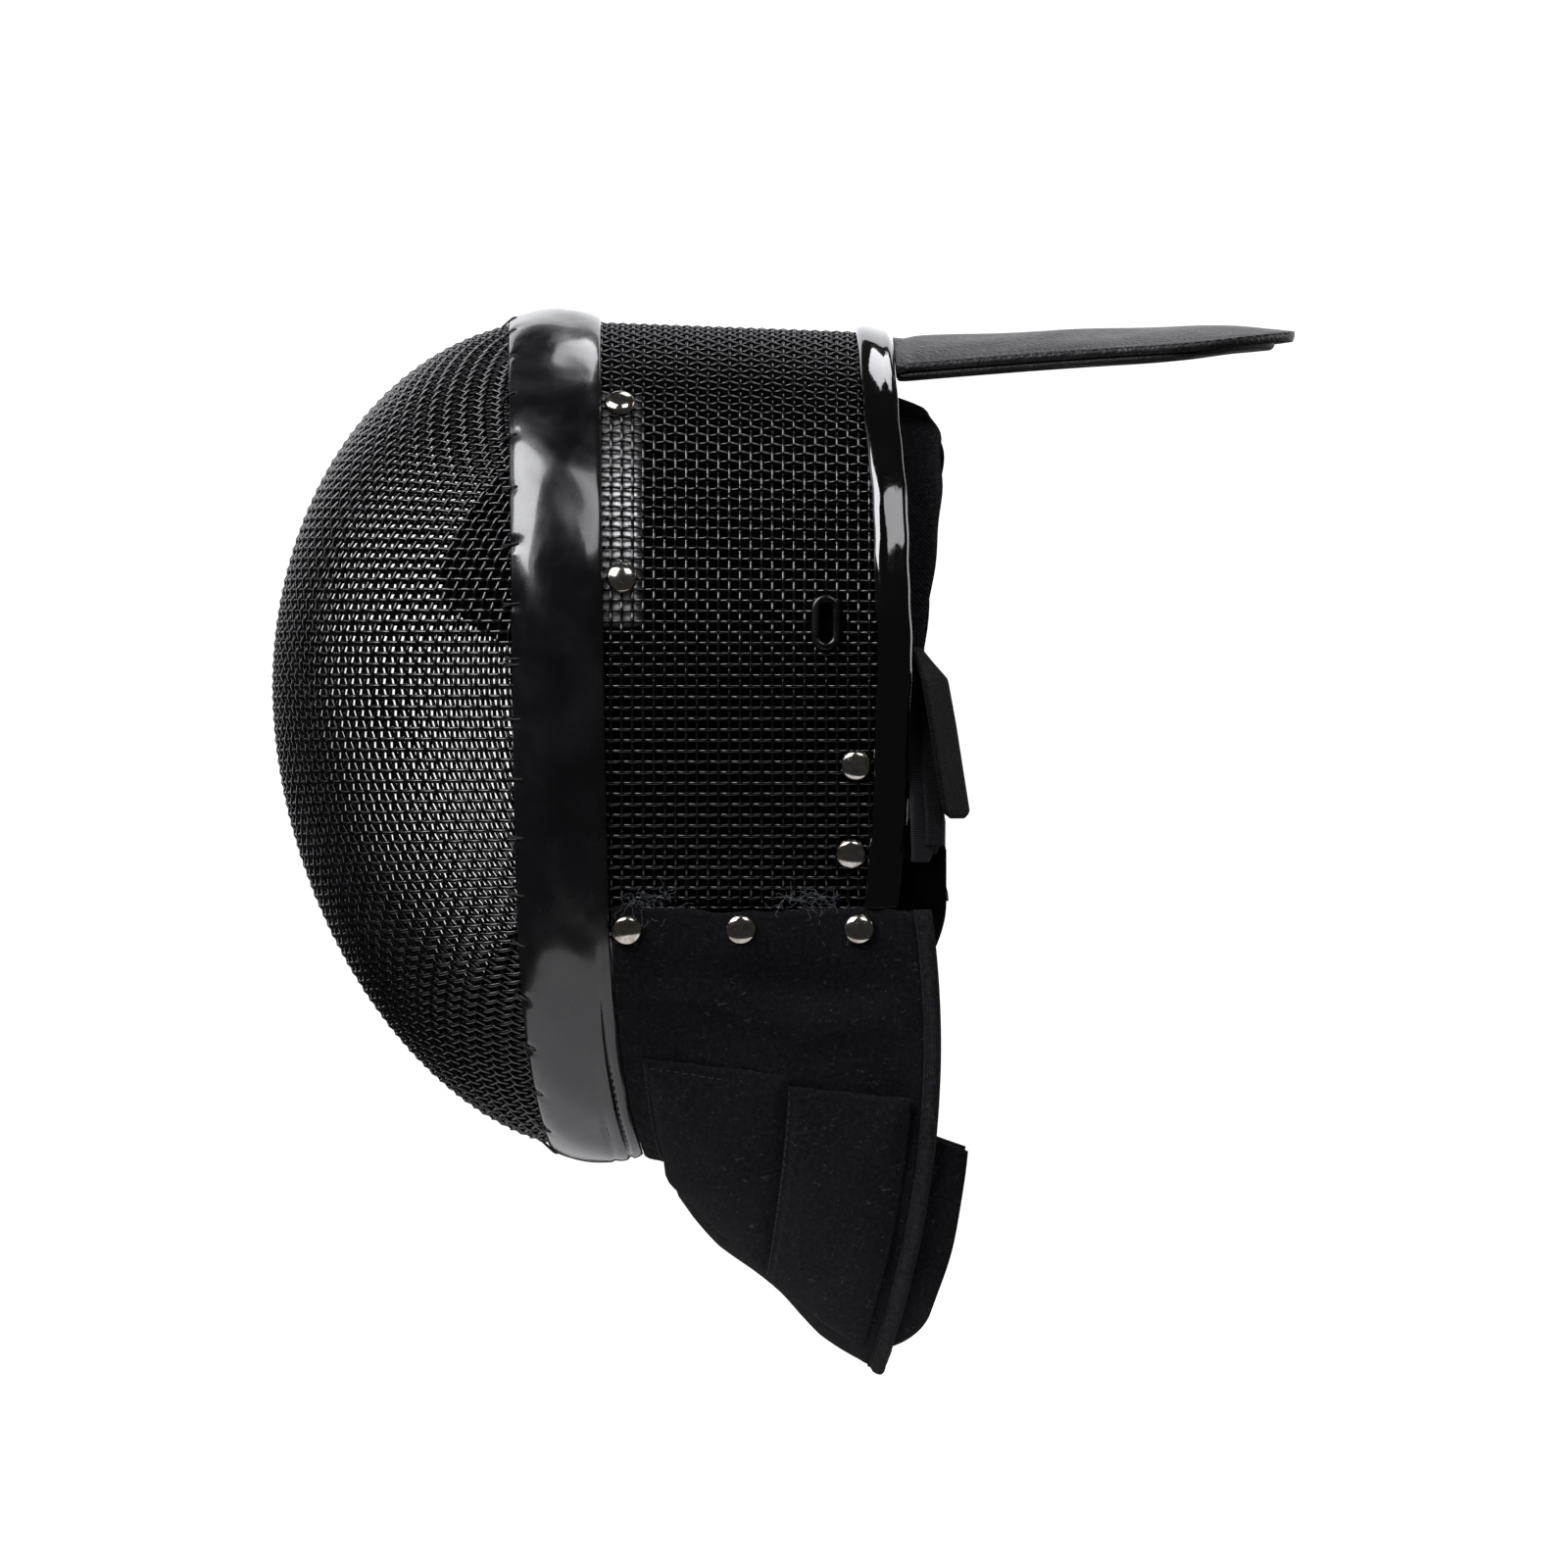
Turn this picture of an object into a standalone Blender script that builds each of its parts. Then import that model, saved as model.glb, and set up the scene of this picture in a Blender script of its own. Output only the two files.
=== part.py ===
"""A fencing mask: wire mesh front and sides, trims, padded tongue, canvas bib, liner and harness.

Units are metres. The mask faces -Y, +Z is up and the wearer's left is +X. The origin is where the
crown of the head meets the liner.
"""

import math

import bmesh
import bpy
from mathutils import Matrix, Vector

# Wire mesh frame
MASK_HALF_WIDTH = 0.090
CROWN_RISE = 0.1055
CHIN_DROP = 0.1555
DOME_DEPTH = 0.0886
POLE_DROP = 0.0095
DOME_LOWER_POWER = 1.9
SIDE_LENGTH = 0.0995
SEAT_BACK = 0.0600
WIRE_WALL = 0.0020
UPPER_POWER = 2.0
LOWER_POWER = 1.8
RING_LEAN = 0.0037
CHIN_SETBACK = 0.0096
SETBACK_POWER = 9
CROWN_FALL = 0.0037
REAR_BULGE = 0.0065

# Clearance between neighbouring pieces, and under soft pieces on curved walls
GAP = 0.0003
PAD_GAP = 0.0010

# Trims
FRONT_TRIM_WIDTH = 0.0292
FRONT_TRIM_EDGE = 0.0019
FRONT_TRIM_CROWN = 0.0028
REAR_TRIM_WIDTH = 0.0110
REAR_TRIM_WALL = 0.0013
REAR_TRIM_DROP = 0.0790

# Liner and pads
LINER_THICK = 0.0050
LINER_DROP = 0.0790
LINER_NOTCH = 0.0140
NOTCH_BLEND = 0.0020
LINER_INSET = 0.0015
TEMPLE_PAD_RISE = 0.0610
TEMPLE_PAD_HEIGHT = 0.0580
TEMPLE_PAD_REACH = 0.0230
TEMPLE_PAD_THICK = 0.0080
CHIN_PAD_DROP = 0.0820
CHIN_PAD_POWER = 0.7
PAD_TUCK = 0.35
CHIN_PAD_REACH = 0.0500
CHIN_PAD_THICK = 0.0080

# Steel plate and grommet in the side mesh
PLATE_THICK = 0.0012
PLATE_LENGTH = 0.0750
PLATE_WIDTH = 0.0180
PLATE_RISE = 0.0840
GROMMET_LENGTH = 0.0175
GROMMET_WIDTH = 0.0090
GROMMET_RIM = 0.0016
GROMMET_SLOT = 0.0042
GROMMET_SLEEVE = 0.0010

# Rivets, and how far they sit from the trims and the bib's edges
RIVET_HEAD = 0.0049
RIVET_DOME = 0.0022
RIVET_SHANK = 0.0018
RIVET_SIDES = 10
HOLE_SIDES = 8
PLATE_RIVET_INSET = 0.0058
ANCHOR_RIVET_INSET = 0.0057
BIB_RIVET_DROP = 0.0068
BIB_RIVET_FRONT = 0.0046
BIB_RIVET_REAR = 0.0019

# Bib
BIB_THICK = 0.0016
BIB_TOP_DROP = 0.0790
BIB_TIP_DROP = 0.2228
BIB_LENGTH = 0.0952
BIB_TIP_LENGTH = 0.0812
BIB_BULGE = 0.0088
BIB_SAG = 0.0035
BIB_POWER = 2.6
MESH_UNDER_BIB = 0.0120
BINDING_WIDTH = 0.0050
BINDING_THICK = 0.0030
OVERLAY_THICK = 0.0034
OVERLAY_DROP = 0.1290
OVERLAY_SLOPE = 0.0110
OVERLAY_FOOT = 0.84
OVERLAY_FOOT_RISE = 0.06
INNER_BIB_THICK = 0.0015
INNER_BIB_REACH = 0.0150
INNER_BIB_DROP = 0.1540
INNER_BIB_SEAM = 0.90
INNER_BIB_TAPER = 0.95
INNER_BIB_POWER = 2.5

# Tongue
TONGUE_LENGTH = 0.1280
TONGUE_HALF_WIDTH = 0.0430
TONGUE_THICK = 0.0032
TONGUE_LINING_THICK = 0.0018
TONGUE_ARCH = 0.0092
TONGUE_RISE = 0.0040
TONGUE_TIP_POWER = 2.3
TONGUE_TIP_START = 0.62
TONGUE_ARCH_FADE = 0.45
TONGUE_LINING_SHARE = 0.95
TONGUE_LINING_INSET = 0.0010

# Harness
STRAP_WIDTH = 0.0250
STRAP_THICK = 0.0018
CROWN_STRAP_TOP = 0.0150
CROWN_STRAP_HALF_WIDTH = 0.0780
CROWN_STRAP_SWEEP = 0.0105
CROWN_STRAP_TILT = 0.25
CROWN_STRAP_PLACE = 0.45
CROWN_STRAP_INSET = 0.35
BACK_STRAP_PLACE = 0.62
TAB_THICK = 0.0014
TAB_DROP = 0.0296
TAB_HEIGHT = 0.0370
TAB_LENGTH = 0.0260
STRAP_END_WIDTH = 0.0200
STRAP_END_THICK = 0.0012
STRAP_END_LENGTH = 0.0620
STRAP_END_BACK = 0.0175
STRAP_END_OUT = 0.0015
STRAP_END_TWIST = 68
STRAP_END_OFFSET = 0.14
STRAP_END_FLAT = 0.7
STRAP_END_START = math.radians(66)
BACK_STRAP_REACH = 0.0130
BACK_STRAP_SAG = 0.0150
SLIDER_PLACE = 0.35
SLIDER_RIM = 0.0024
SLIDER_DEPTH = 0.0070

# Derived places
HALF_WALL = WIRE_WALL / 2
PLATE_LAYER = HALF_WALL + GAP + PLATE_THICK / 2
LINER_FACE = HALF_WALL + 2 * GAP + PLATE_THICK
LINER_LAYER = LINER_FACE + LINER_THICK / 2
BIB_LAYER = HALF_WALL + GAP + BIB_THICK / 2
RING_Y = -SEAT_BACK
CROWN_Z = LINER_FACE + LINER_THICK + CROWN_FALL * SEAT_BACK / SIDE_LENGTH
CENTRE_Z = CROWN_Z - CROWN_RISE
CHIN_Z = CENTRE_Z - CHIN_DROP
POLE_Z = CENTRE_Z - POLE_DROP
BIB_TOP_Z = CENTRE_Z - BIB_TOP_DROP
TAB_TOP_Z = CENTRE_Z - TAB_DROP
CROWN_STRAP_FOOT_Z = TAB_TOP_Z - TAB_HEIGHT * 0.2
TAB_LAYER = HALF_WALL + 2 * GAP + REAR_TRIM_WALL + TAB_THICK / 2

# Bib centre line from the ring to the hem: share of the length, share of the sag
BIB_CENTRE_SHARES = (
    (0.000, 0.0),
    (0.060, -1.0),
    (0.112, -1.5),
    (0.162, 0.4),
    (0.250, 0.7),
    (0.370, 0.9),
    (0.500, 0.7),
    (0.630, 0.6),
    (0.720, 0.7),
    (0.810, 0.7),
    (0.900, 0.4),
    (1.000, 0.0),
)

# Name of each padded panel, and where it starts and ends along the bib as shares of its length
OVERLAY_SHARES = (
    ("front", 0.075, 0.575),
    ("rear", 0.585, 0.965),
)
# Temple pad from its top to its foot: share of the height, share of the reach
TEMPLE_PAD_SHARES = (
    (0.00, 0.05),
    (0.15, 0.33),
    (0.30, 0.66),
    (0.55, 1.00),
    (0.78, 0.95),
    (0.90, 0.50),
    (1.00, 0.10),
)

# Rivets through the steel plate and through the anchor tab: name, share of that piece's height from its top
PLATE_RIVET_SHARES = (("plate_upper", 0.065), ("plate_lower", 0.796))
ANCHOR_RIVET_SHARES = (("anchor_upper", 0.124), ("anchor_lower", 0.873))

# Rivets along the bib's top edge: name, share of the way from the front one to the rear one
BIB_RIVET_SHARES = (("bib_front", 0.0), ("bib_middle", 0.49), ("bib_rear", 1.0))


def new_collection(name):
    collection = bpy.data.collections.new(name)
    bpy.context.scene.collection.children.link(collection)
    return collection


def clear_scene():
    for obj in list(bpy.data.objects):
        bpy.data.objects.remove(obj, do_unlink=True)


def material(name, colour, roughness, metallic=0.0):
    """A Principled material with one colour."""
    made = bpy.data.materials.new(name)
    made.use_nodes = True
    shader = made.node_tree.nodes["Principled BSDF"]
    shader.inputs["Base Color"].default_value = (*colour, 1.0)
    shader.inputs["Roughness"].default_value = roughness
    shader.inputs["Metallic"].default_value = metallic
    return made


def add_object(name, mesh, look, collection):
    """An object of the mesh, shaded smooth, with its own material."""
    obj = bpy.data.objects.new(name, mesh)
    collection.objects.link(obj)
    mesh.materials.append(look)
    mesh.shade_smooth()
    mesh.set_sharp_from_angle(angle=math.radians(40))
    return obj


def mirrored(rows):
    """Rows from the left edge to the centre plane, carried on to the right edge."""
    return [row + [Vector((-p.x, p.y, p.z)) for p in reversed(row[:-1])] for row in rows]


def flipped(rows):
    """The same rows on the right."""
    return [[Vector((-p.x, p.y, p.z)) for p in row] for row in rows]


def surface_mesh(name, rows, loop=False):
    """An open surface through rows of points. With loop, each row closes on itself."""
    bm = bmesh.new()
    grid = [[bm.verts.new(p) for p in row] for row in rows]
    last = len(rows[0]) if loop else len(rows[0]) - 1
    for near, far in zip(grid, grid[1:]):
        for i in range(last):
            j = (i + 1) % len(near)
            bm.faces.new((near[i], near[j], far[j], far[i]))
    mesh = bpy.data.meshes.new(name)
    bmesh.ops.remove_doubles(bm, verts=bm.verts, dist=0.00001)
    bmesh.ops.recalc_face_normals(bm, faces=bm.faces)
    bm.to_mesh(mesh)
    bm.free()
    return mesh


def shell(name, rows, thickness, look, collection, loop=False):
    """A wall of even thickness on both sides of the surface through the rows."""
    obj = add_object(name, surface_mesh(name, rows, loop), look, collection)
    wall = obj.modifiers.new("wall", "SOLIDIFY")
    wall.thickness = thickness
    wall.offset = 0.0
    wall.use_even_offset = True
    wall.use_quality_normals = True
    return obj


def loft(name, sections, look, collection, closed=False):
    """A solid through section loops of equal length, capped unless it closes on itself."""
    bm = bmesh.new()
    loops = [[bm.verts.new(p) for p in section] for section in sections]
    pairs = list(zip(loops, loops[1:] + loops[:1])) if closed else list(zip(loops, loops[1:]))
    for near, far in pairs:
        for i in range(len(near)):
            j = (i + 1) % len(near)
            bm.faces.new((near[i], near[j], far[j], far[i]))
    if not closed:
        bm.faces.new(loops[0])
        bm.faces.new(loops[-1])
    bmesh.ops.recalc_face_normals(bm, faces=bm.faces)
    mesh = bpy.data.meshes.new(name)
    bm.to_mesh(mesh)
    bm.free()
    return add_object(name, mesh, look, collection)


def cut(obj, cutter):
    hole = obj.modifiers.new("holes", "BOOLEAN")
    hole.operation = "DIFFERENCE"
    hole.solver = "EXACT"
    hole.object = cutter


def steps(start, end, count):
    """Count + 1 values from start to end."""
    return [start + (end - start) * i / count for i in range(count + 1)]


def read_table(table, share):
    """The second column of a table at a value of the first, on straight lines between the rows."""
    for (low, a), (high, b) in zip(table, table[1:]):
        if share <= high:
            return a + (b - a) * max(0.0, share - low) / (high - low)
    return table[-1][1]


def arch(angle):
    """(x, z) of the wire's middle at an angle from the crown, 0, by the left side to the chin, pi."""
    upper = math.cos(angle) >= 0.0
    power = 2.0 / (UPPER_POWER if upper else LOWER_POWER)
    reach = CROWN_RISE if upper else -CHIN_DROP
    across = math.copysign(abs(math.sin(angle)) ** power, math.sin(angle))
    return MASK_HALF_WIDTH * across, CENTRE_Z + reach * abs(math.cos(angle)) ** power


def angle_at(z):
    """The angle at which the arch is at this height, on the left."""
    if z >= CENTRE_Z:
        return math.acos(min(1.0, (z - CENTRE_Z) / CROWN_RISE) ** (UPPER_POWER / 2))
    return math.acos(-(min(1.0, (CENTRE_Z - z) / CHIN_DROP) ** (LOWER_POWER / 2)))


def arch_normal(angle):
    """Outward direction of the arch in the XZ plane."""
    small = 0.01
    x0, z0 = arch(angle - small)
    x1, z1 = arch(angle + small)
    return Vector((z0 - z1, 0.0, x1 - x0)).normalized()


def ring_shift(z):
    """How far the ring stands behind its crown at a height."""
    share = (CROWN_Z - z) / (CROWN_Z - CHIN_Z)
    return RING_LEAN * share + CHIN_SETBACK * max(0.0, share) ** SETBACK_POWER


def lip_y(z):
    """Front lip of the rear trim."""
    return RING_Y + RING_LEAN / 2 + SIDE_LENGTH - REAR_BULGE * ((z - CENTRE_Z) / CROWN_RISE) ** 2


def side_point(angle, y, inward=0.0):
    """A point of the side wall at an angle and a Y, moved inward from the wire's middle."""
    x, z = arch(angle)
    share = (y - RING_Y) / SIDE_LENGTH
    fall = CROWN_FALL * share * max(0.0, math.cos(angle))
    return Vector((x, y, z - fall)) - arch_normal(angle) * inward


def dome_point(angle, turn, inward=0.0):
    """A point of the dome: turn is 0 at the ring and a quarter turn at the front pole."""
    x, z = arch(angle)
    y = RING_Y + ring_shift(z) * math.cos(turn) ** 2 - DOME_DEPTH * math.sin(turn)
    power = 2.0 / DOME_LOWER_POWER if z < POLE_Z else 1.0
    point = Vector((x * math.cos(turn), y, POLE_Z + (z - POLE_Z) * math.cos(turn) ** power))
    out = arch_normal(angle) * math.cos(turn) + Vector((0.0, -1.0, 0.0)) * math.sin(turn)
    return point - out.normalized() * inward


def dome_at(y, z, inward=0.0):
    """The point of the left half of the dome at a Y and Z."""
    turn = 0.0
    for _ in range(4):
        ring_z = POLE_Z + (z - POLE_Z) / math.cos(turn)
        back = RING_Y + ring_shift(ring_z) * math.cos(turn) ** 2 - y
        turn = math.asin(max(0.0, min(0.98, back / DOME_DEPTH)))
    ring_z = POLE_Z + (z - POLE_Z) / math.cos(turn)
    return dome_point(angle_at(ring_z), turn, inward)


def make_front_mesh(look, parts):
    """The dome, from the ring to its front pole."""
    turns = steps(0.0, math.radians(87), 8)
    angles = steps(-math.pi, math.pi, 40)[:-1]
    rows = [[dome_point(a, t) for a in angles] for t in turns]
    obj = shell("front_mesh", rows, WIRE_WALL, look, parts, loop=True)
    bm = bmesh.new()
    bm.from_mesh(obj.data)
    edges = [e for e in bm.edges if e.is_boundary]
    front = [e for e in edges if e.verts[0].co.y < RING_Y - DOME_DEPTH / 2]
    bmesh.ops.contextual_create(bm, geom=front)
    bm.to_mesh(obj.data)
    bm.free()
    return obj


def make_side_mesh(look, parts):
    """The arched wall behind the ring. It runs on under the bib, and its rear edge sits in the trim."""
    end = angle_at(BIB_TOP_Z - MESH_UNDER_BIB)
    rows = []
    for share in steps(0.0, 1.0, 3):
        row = []
        for angle in steps(-end, end, 40):
            z = arch(angle)[1]
            start = RING_Y + ring_shift(z) + GAP
            rear = lip_y(z) + REAR_TRIM_WIDTH - REAR_TRIM_WALL - GAP
            row.append(side_point(angle, start + (rear - start) * share))
        rows.append(row)
    return shell("side_mesh", rows, WIRE_WALL, look, parts)


def trim_base(angle, offset):
    """The wire's middle under the front trim, at a distance behind the ring."""
    z = arch(angle)[1]
    if offset >= 0.0:
        return side_point(angle, RING_Y + ring_shift(z) + offset)
    return dome_point(angle, math.asin(-offset / DOME_DEPTH))


def make_front_trim(look, parts):
    """The padded band all round the ring."""
    underside = HALF_WALL + 2 * GAP
    half = FRONT_TRIM_WIDTH / 2
    outline = []
    for share in steps(-1.0, 1.0, 6):
        swell = FRONT_TRIM_EDGE + (FRONT_TRIM_CROWN - FRONT_TRIM_EDGE) * (1.0 - share**2)
        outline.append((share * half, swell + underside))
    outline += [(half * share, underside) for share in (1.0, 0.0, -0.5, -1.0)]
    sections = []
    for angle in steps(-math.pi, math.pi, 40)[:-1]:
        out = arch_normal(angle)
        sections.append([trim_base(angle, along) + out * height for along, height in outline])
    return loft("front_trim", sections, look, parts, closed=True)


def make_rear_trim(look, parts):
    """The U channel over the rear edge of the side mesh."""
    slot = HALF_WALL + GAP
    outer = slot + REAR_TRIM_WALL
    width = REAR_TRIM_WIDTH
    half = (
        (slot, 0.0),
        (outer - REAR_TRIM_WALL * 0.3, 0.0),
        (outer, REAR_TRIM_WALL * 0.5),
        (outer, width - outer * 0.8),
        (outer * 0.7, width - outer * 0.2),
        (0.0, width),
    )
    outline = list(half) + [(-n, y) for n, y in reversed(half[:-1])]
    outline += [(-slot, width - REAR_TRIM_WALL), (slot, width - REAR_TRIM_WALL)]
    end = angle_at(CENTRE_Z - REAR_TRIM_DROP + BINDING_THICK)
    sections = []
    for angle in steps(-end, end, 36):
        z = arch(angle)[1]
        sections.append([side_point(angle, lip_y(z) + y, -n) for n, y in outline])
    return loft("rear_trim", sections, look, parts)


def liner_rear(z):
    """Rear edge of the liner: it follows the trim, with a notch low down where the anchor tab sits."""
    notch = 1.0 / (1.0 + math.exp((z - TAB_TOP_Z - 5 * NOTCH_BLEND) / NOTCH_BLEND))
    return lip_y(z) - LINER_INSET - LINER_NOTCH * notch


def make_liner(look, parts):
    end = angle_at(CENTRE_Z - LINER_DROP)
    rows = []
    for share in steps(0.0, 1.0, 2):
        row = []
        for angle in steps(-end, end, 36):
            z = arch(angle)[1]
            start = RING_Y + ring_shift(z) + FRONT_TRIM_WIDTH / 6
            row.append(side_point(angle, start + (liner_rear(z) - start) * share, LINER_LAYER))
        rows.append(row)
    return shell("crown_liner", rows, LINER_THICK, look, parts)


def make_plates(look, parts):
    """The steel strip inside each side of the mesh, next to the ring."""
    rows = []
    for y in steps(0.0, PLATE_WIDTH, 2):
        row = []
        for z in steps(CENTRE_Z + PLATE_RISE, CENTRE_Z + PLATE_RISE - PLATE_LENGTH, 8):
            start = RING_Y + FRONT_TRIM_WIDTH / 3
            row.append(side_point(angle_at(z), start + y, PLATE_LAYER))
        rows.append(row)
    left = shell("mesh_plate_left", rows, PLATE_THICK, look, parts)
    right = shell("mesh_plate_right", flipped(rows), PLATE_THICK, look, parts)
    return [left, right]


def make_pads(look, parts):
    """Temple pads and the chin pad, inside the dome."""
    hidden = FRONT_TRIM_WIDTH * PAD_TUCK
    edge = RING_Y + ring_shift(CENTRE_Z) - FRONT_TRIM_WIDTH / 2
    rows = []
    depth = HALF_WALL + PAD_GAP + TEMPLE_PAD_THICK / 2
    for down, reach in TEMPLE_PAD_SHARES:
        z = CENTRE_Z + TEMPLE_PAD_RISE - TEMPLE_PAD_HEIGHT * down
        front = edge - TEMPLE_PAD_REACH * reach
        rows.append([dome_at(y, z, depth) for y in steps(edge + hidden, front, 4)])
    shell("temple_pad_left", rows, TEMPLE_PAD_THICK, look, parts)
    shell("temple_pad_right", flipped(rows), TEMPLE_PAD_THICK, look, parts)

    start = angle_at(CENTRE_Z - CHIN_PAD_DROP)
    depth = HALF_WALL + PAD_GAP + CHIN_PAD_THICK / 2
    rows = []
    for share in steps(0.0, 1.0, 5):
        row = []
        for angle in steps(start, math.pi, 11):
            swing = math.sin(math.pi / 2 * (angle - start) / (math.pi - start)) ** CHIN_PAD_POWER
            reach = hidden + (CHIN_PAD_REACH - hidden) * swing
            near = FRONT_TRIM_WIDTH / 10
            row.append(dome_point(angle, (near + (reach - near) * share) / DOME_DEPTH, depth))
        rows.append(row)
    shell("chin_pad", mirrored(rows), CHIN_PAD_THICK, look, parts)


def ring_line(down, lift):
    """Front line of the bib, along the rear edge of the front trim."""
    start = angle_at(BIB_TOP_Z)
    angle = start + (math.pi - start) * down
    z = arch(angle)[1]
    y = RING_Y + ring_shift(z) + FRONT_TRIM_WIDTH / 2 + 2 * GAP
    return side_point(angle, y, -BIB_LAYER - lift)


def hem_line(down):
    """Hem of the bib, from its top corner to the tip on the centre plane."""
    turn = down * math.pi / 2
    top = ring_line(0.0, 0.0)
    share = math.sin(turn) ** (2 / BIB_POWER)
    z = top.z - (BIB_TIP_DROP - BIB_TOP_DROP) * share
    reach = BIB_LENGTH + (BIB_TIP_LENGTH - BIB_LENGTH) * share + 4 * BIB_BULGE * share * (1 - share)
    return Vector((top.x * math.cos(turn) ** (2 / BIB_POWER), top.y + reach, z))


def bib_middle(along, down):
    """The middle of the bib's wall: along runs from the ring to the hem, down from top edge to centre."""
    near = ring_line(down, 0.0)
    far = hem_line(down)
    point = near.lerp(far, along)
    sag = BIB_SAG * read_table(BIB_CENTRE_SHARES, along) * down**2
    return point - Vector((0.0, 0.5, 0.87)) * sag


def bib_normal(along, down):
    small = 0.02
    a0 = max(0.0, along - small)
    a1 = along + small
    d0 = max(0.0, down - small)
    d1 = min(1.0, down + small)
    length = bib_middle(a1, down) - bib_middle(a0, down)
    fall = bib_middle(along, d1) - bib_middle(along, d0)
    if down > 1.0 - small:
        fall = Vector((-1.0, 0.0, 0.0))
    return fall.cross(length).normalized()


def bib_point(along, down, lift=0.0):
    if lift == 0.0:
        return bib_middle(along, down)
    return bib_middle(along, down) + bib_normal(along, down) * lift


def down_at(along, z):
    """How far down the bib this height is, at a share of its length."""
    low, high = 0.0, 1.0
    for _ in range(30):
        middle = (low + high) / 2
        if bib_middle(along, middle).z > z:
            low = middle
        else:
            high = middle
    return low


def make_bib(look, binding_look, parts):
    downs = [math.sin(math.pi / 2 * share) ** 1.2 for share in steps(0.0, 1.0, 12)]
    alongs = [along for along, _ in BIB_CENTRE_SHARES]
    rows = mirrored([[bib_middle(along, down) for down in downs] for along in alongs])
    bib = shell("bib", rows, BIB_THICK, look, parts)

    sections = []
    outline = []
    for turn in steps(0.0, 2 * math.pi, 8)[:-1]:
        outline.append((math.cos(turn) * BINDING_WIDTH / 2, math.sin(turn) * BINDING_THICK / 2))
    for down in downs:
        out = bib_normal(1.0, down)
        back = (bib_middle(1.0, down) - bib_middle(0.97, down)).normalized()
        centre = bib_middle(1.0, down) + back * (BINDING_WIDTH / 2 + GAP)
        sections.append([centre + back * a + out * b for a, b in outline])
    right = [[Vector((-p.x, p.y, p.z)) for p in section] for section in reversed(sections[:-1])]
    loft("bib_binding", sections + right, binding_look, parts)
    return bib


def make_overlays(look, parts):
    """The padded panels sewn over the lower half of the bib."""
    lift = BIB_THICK / 2 + PAD_GAP + OVERLAY_THICK / 2
    top = CENTRE_Z - OVERLAY_DROP
    for name, start, end in OVERLAY_SHARES:
        rows = []
        for along in steps(start, end, 6):
            foot = OVERLAY_FOOT - OVERLAY_FOOT_RISE * max(0.0, along - 0.5)
            head = down_at(along, top - OVERLAY_SLOPE * along)
            downs = steps(head, foot, 6)
            rows.append([bib_point(along, down, lift) for down in downs])
        shell(f"overlay_{name}_left", rows, OVERLAY_THICK, look, parts)
        shell(f"overlay_{name}_right", flipped(rows), OVERLAY_THICK, look, parts)


def make_inner_bib(look, parts):
    """The flap inside the hem, which stands out behind it."""
    depth = BINDING_THICK / 2 + 2 * GAP + INNER_BIB_THICK / 2
    head = down_at(1.0, CENTRE_Z - INNER_BIB_DROP)
    rows = []
    for share in steps(0.0, 1.0, 4):
        row = []
        for down in steps(head, 1.0, 10):
            near = bib_point(INNER_BIB_SEAM, down, -depth)
            hem = bib_point(1.0, down, -depth)
            back = (hem - near).normalized()
            taper = 1.0 - INNER_BIB_TAPER * ((down - head) / (1.0 - head)) ** INNER_BIB_POWER
            reach = (hem - near).length + INNER_BIB_REACH * taper
            row.append(near + back * reach * share)
        rows.append(row)
    return shell("inner_bib", mirrored(rows), INNER_BIB_THICK, look, parts)


def tongue_rows(depth, inset, length=1.0):
    """Rows of the tongue's surface: depth below its top face, inset from its edge, share of its length."""
    root = lip_y(CROWN_Z) + REAR_TRIM_WIDTH + GAP
    top = CROWN_Z - CROWN_FALL - FRONT_TRIM_EDGE / 2
    rows = []
    for turn in steps(0.0, math.radians(86), 10):
        share = math.sin(turn)
        along = share * length
        tip = max(0.0, (share - TONGUE_TIP_START) / (1.0 - TONGUE_TIP_START))
        half = TONGUE_HALF_WIDTH * (1.0 - tip**TONGUE_TIP_POWER) ** (1 / TONGUE_TIP_POWER) - inset
        rise = TONGUE_RISE * (math.sin(along * math.pi / 2) - 0.5 * tip**4)
        arch_height = TONGUE_ARCH * (1.0 - TONGUE_ARCH_FADE * along)
        row = []
        for across in steps(1.0, -1.0, 8):
            x = across * half
            z = top + rise - arch_height * (x / TONGUE_HALF_WIDTH) ** 2 - depth
            start = lip_y(z) + REAR_TRIM_WIDTH + GAP
            y = start + (root + TONGUE_LENGTH - start) * along
            row.append(Vector((x, y, z)))
        rows.append(row)
    return rows


def make_tongue(look, lining_look, parts):
    shell("tongue", tongue_rows(TONGUE_THICK / 2, 0.0), TONGUE_THICK, look, parts)
    depth = TONGUE_THICK + GAP + TONGUE_LINING_THICK / 2
    rows = tongue_rows(depth, TONGUE_LINING_INSET, TONGUE_LINING_SHARE)
    shell("tongue_lining", rows, TONGUE_LINING_THICK, lining_look, parts)


def rivet_mesh(name, shank):
    """A domed head over a shank: a profile turned about Z, from the top of the dome down."""
    profile = [(RIVET_HEAD * math.sin(t), RIVET_DOME * math.cos(t)) for t in steps(0.0, math.pi / 2, 3)]
    profile += [(RIVET_SHANK, 0.0), (RIVET_SHANK, -shank), (0.0, -shank)]
    mesh = bpy.data.meshes.new(name)
    bm = bmesh.new()
    verts = [bm.verts.new((x, 0.0, z)) for x, z in profile]
    for a, b in zip(verts, verts[1:]):
        bm.edges.new((a, b))
    bm.to_mesh(mesh)
    bm.free()
    return mesh


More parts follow.
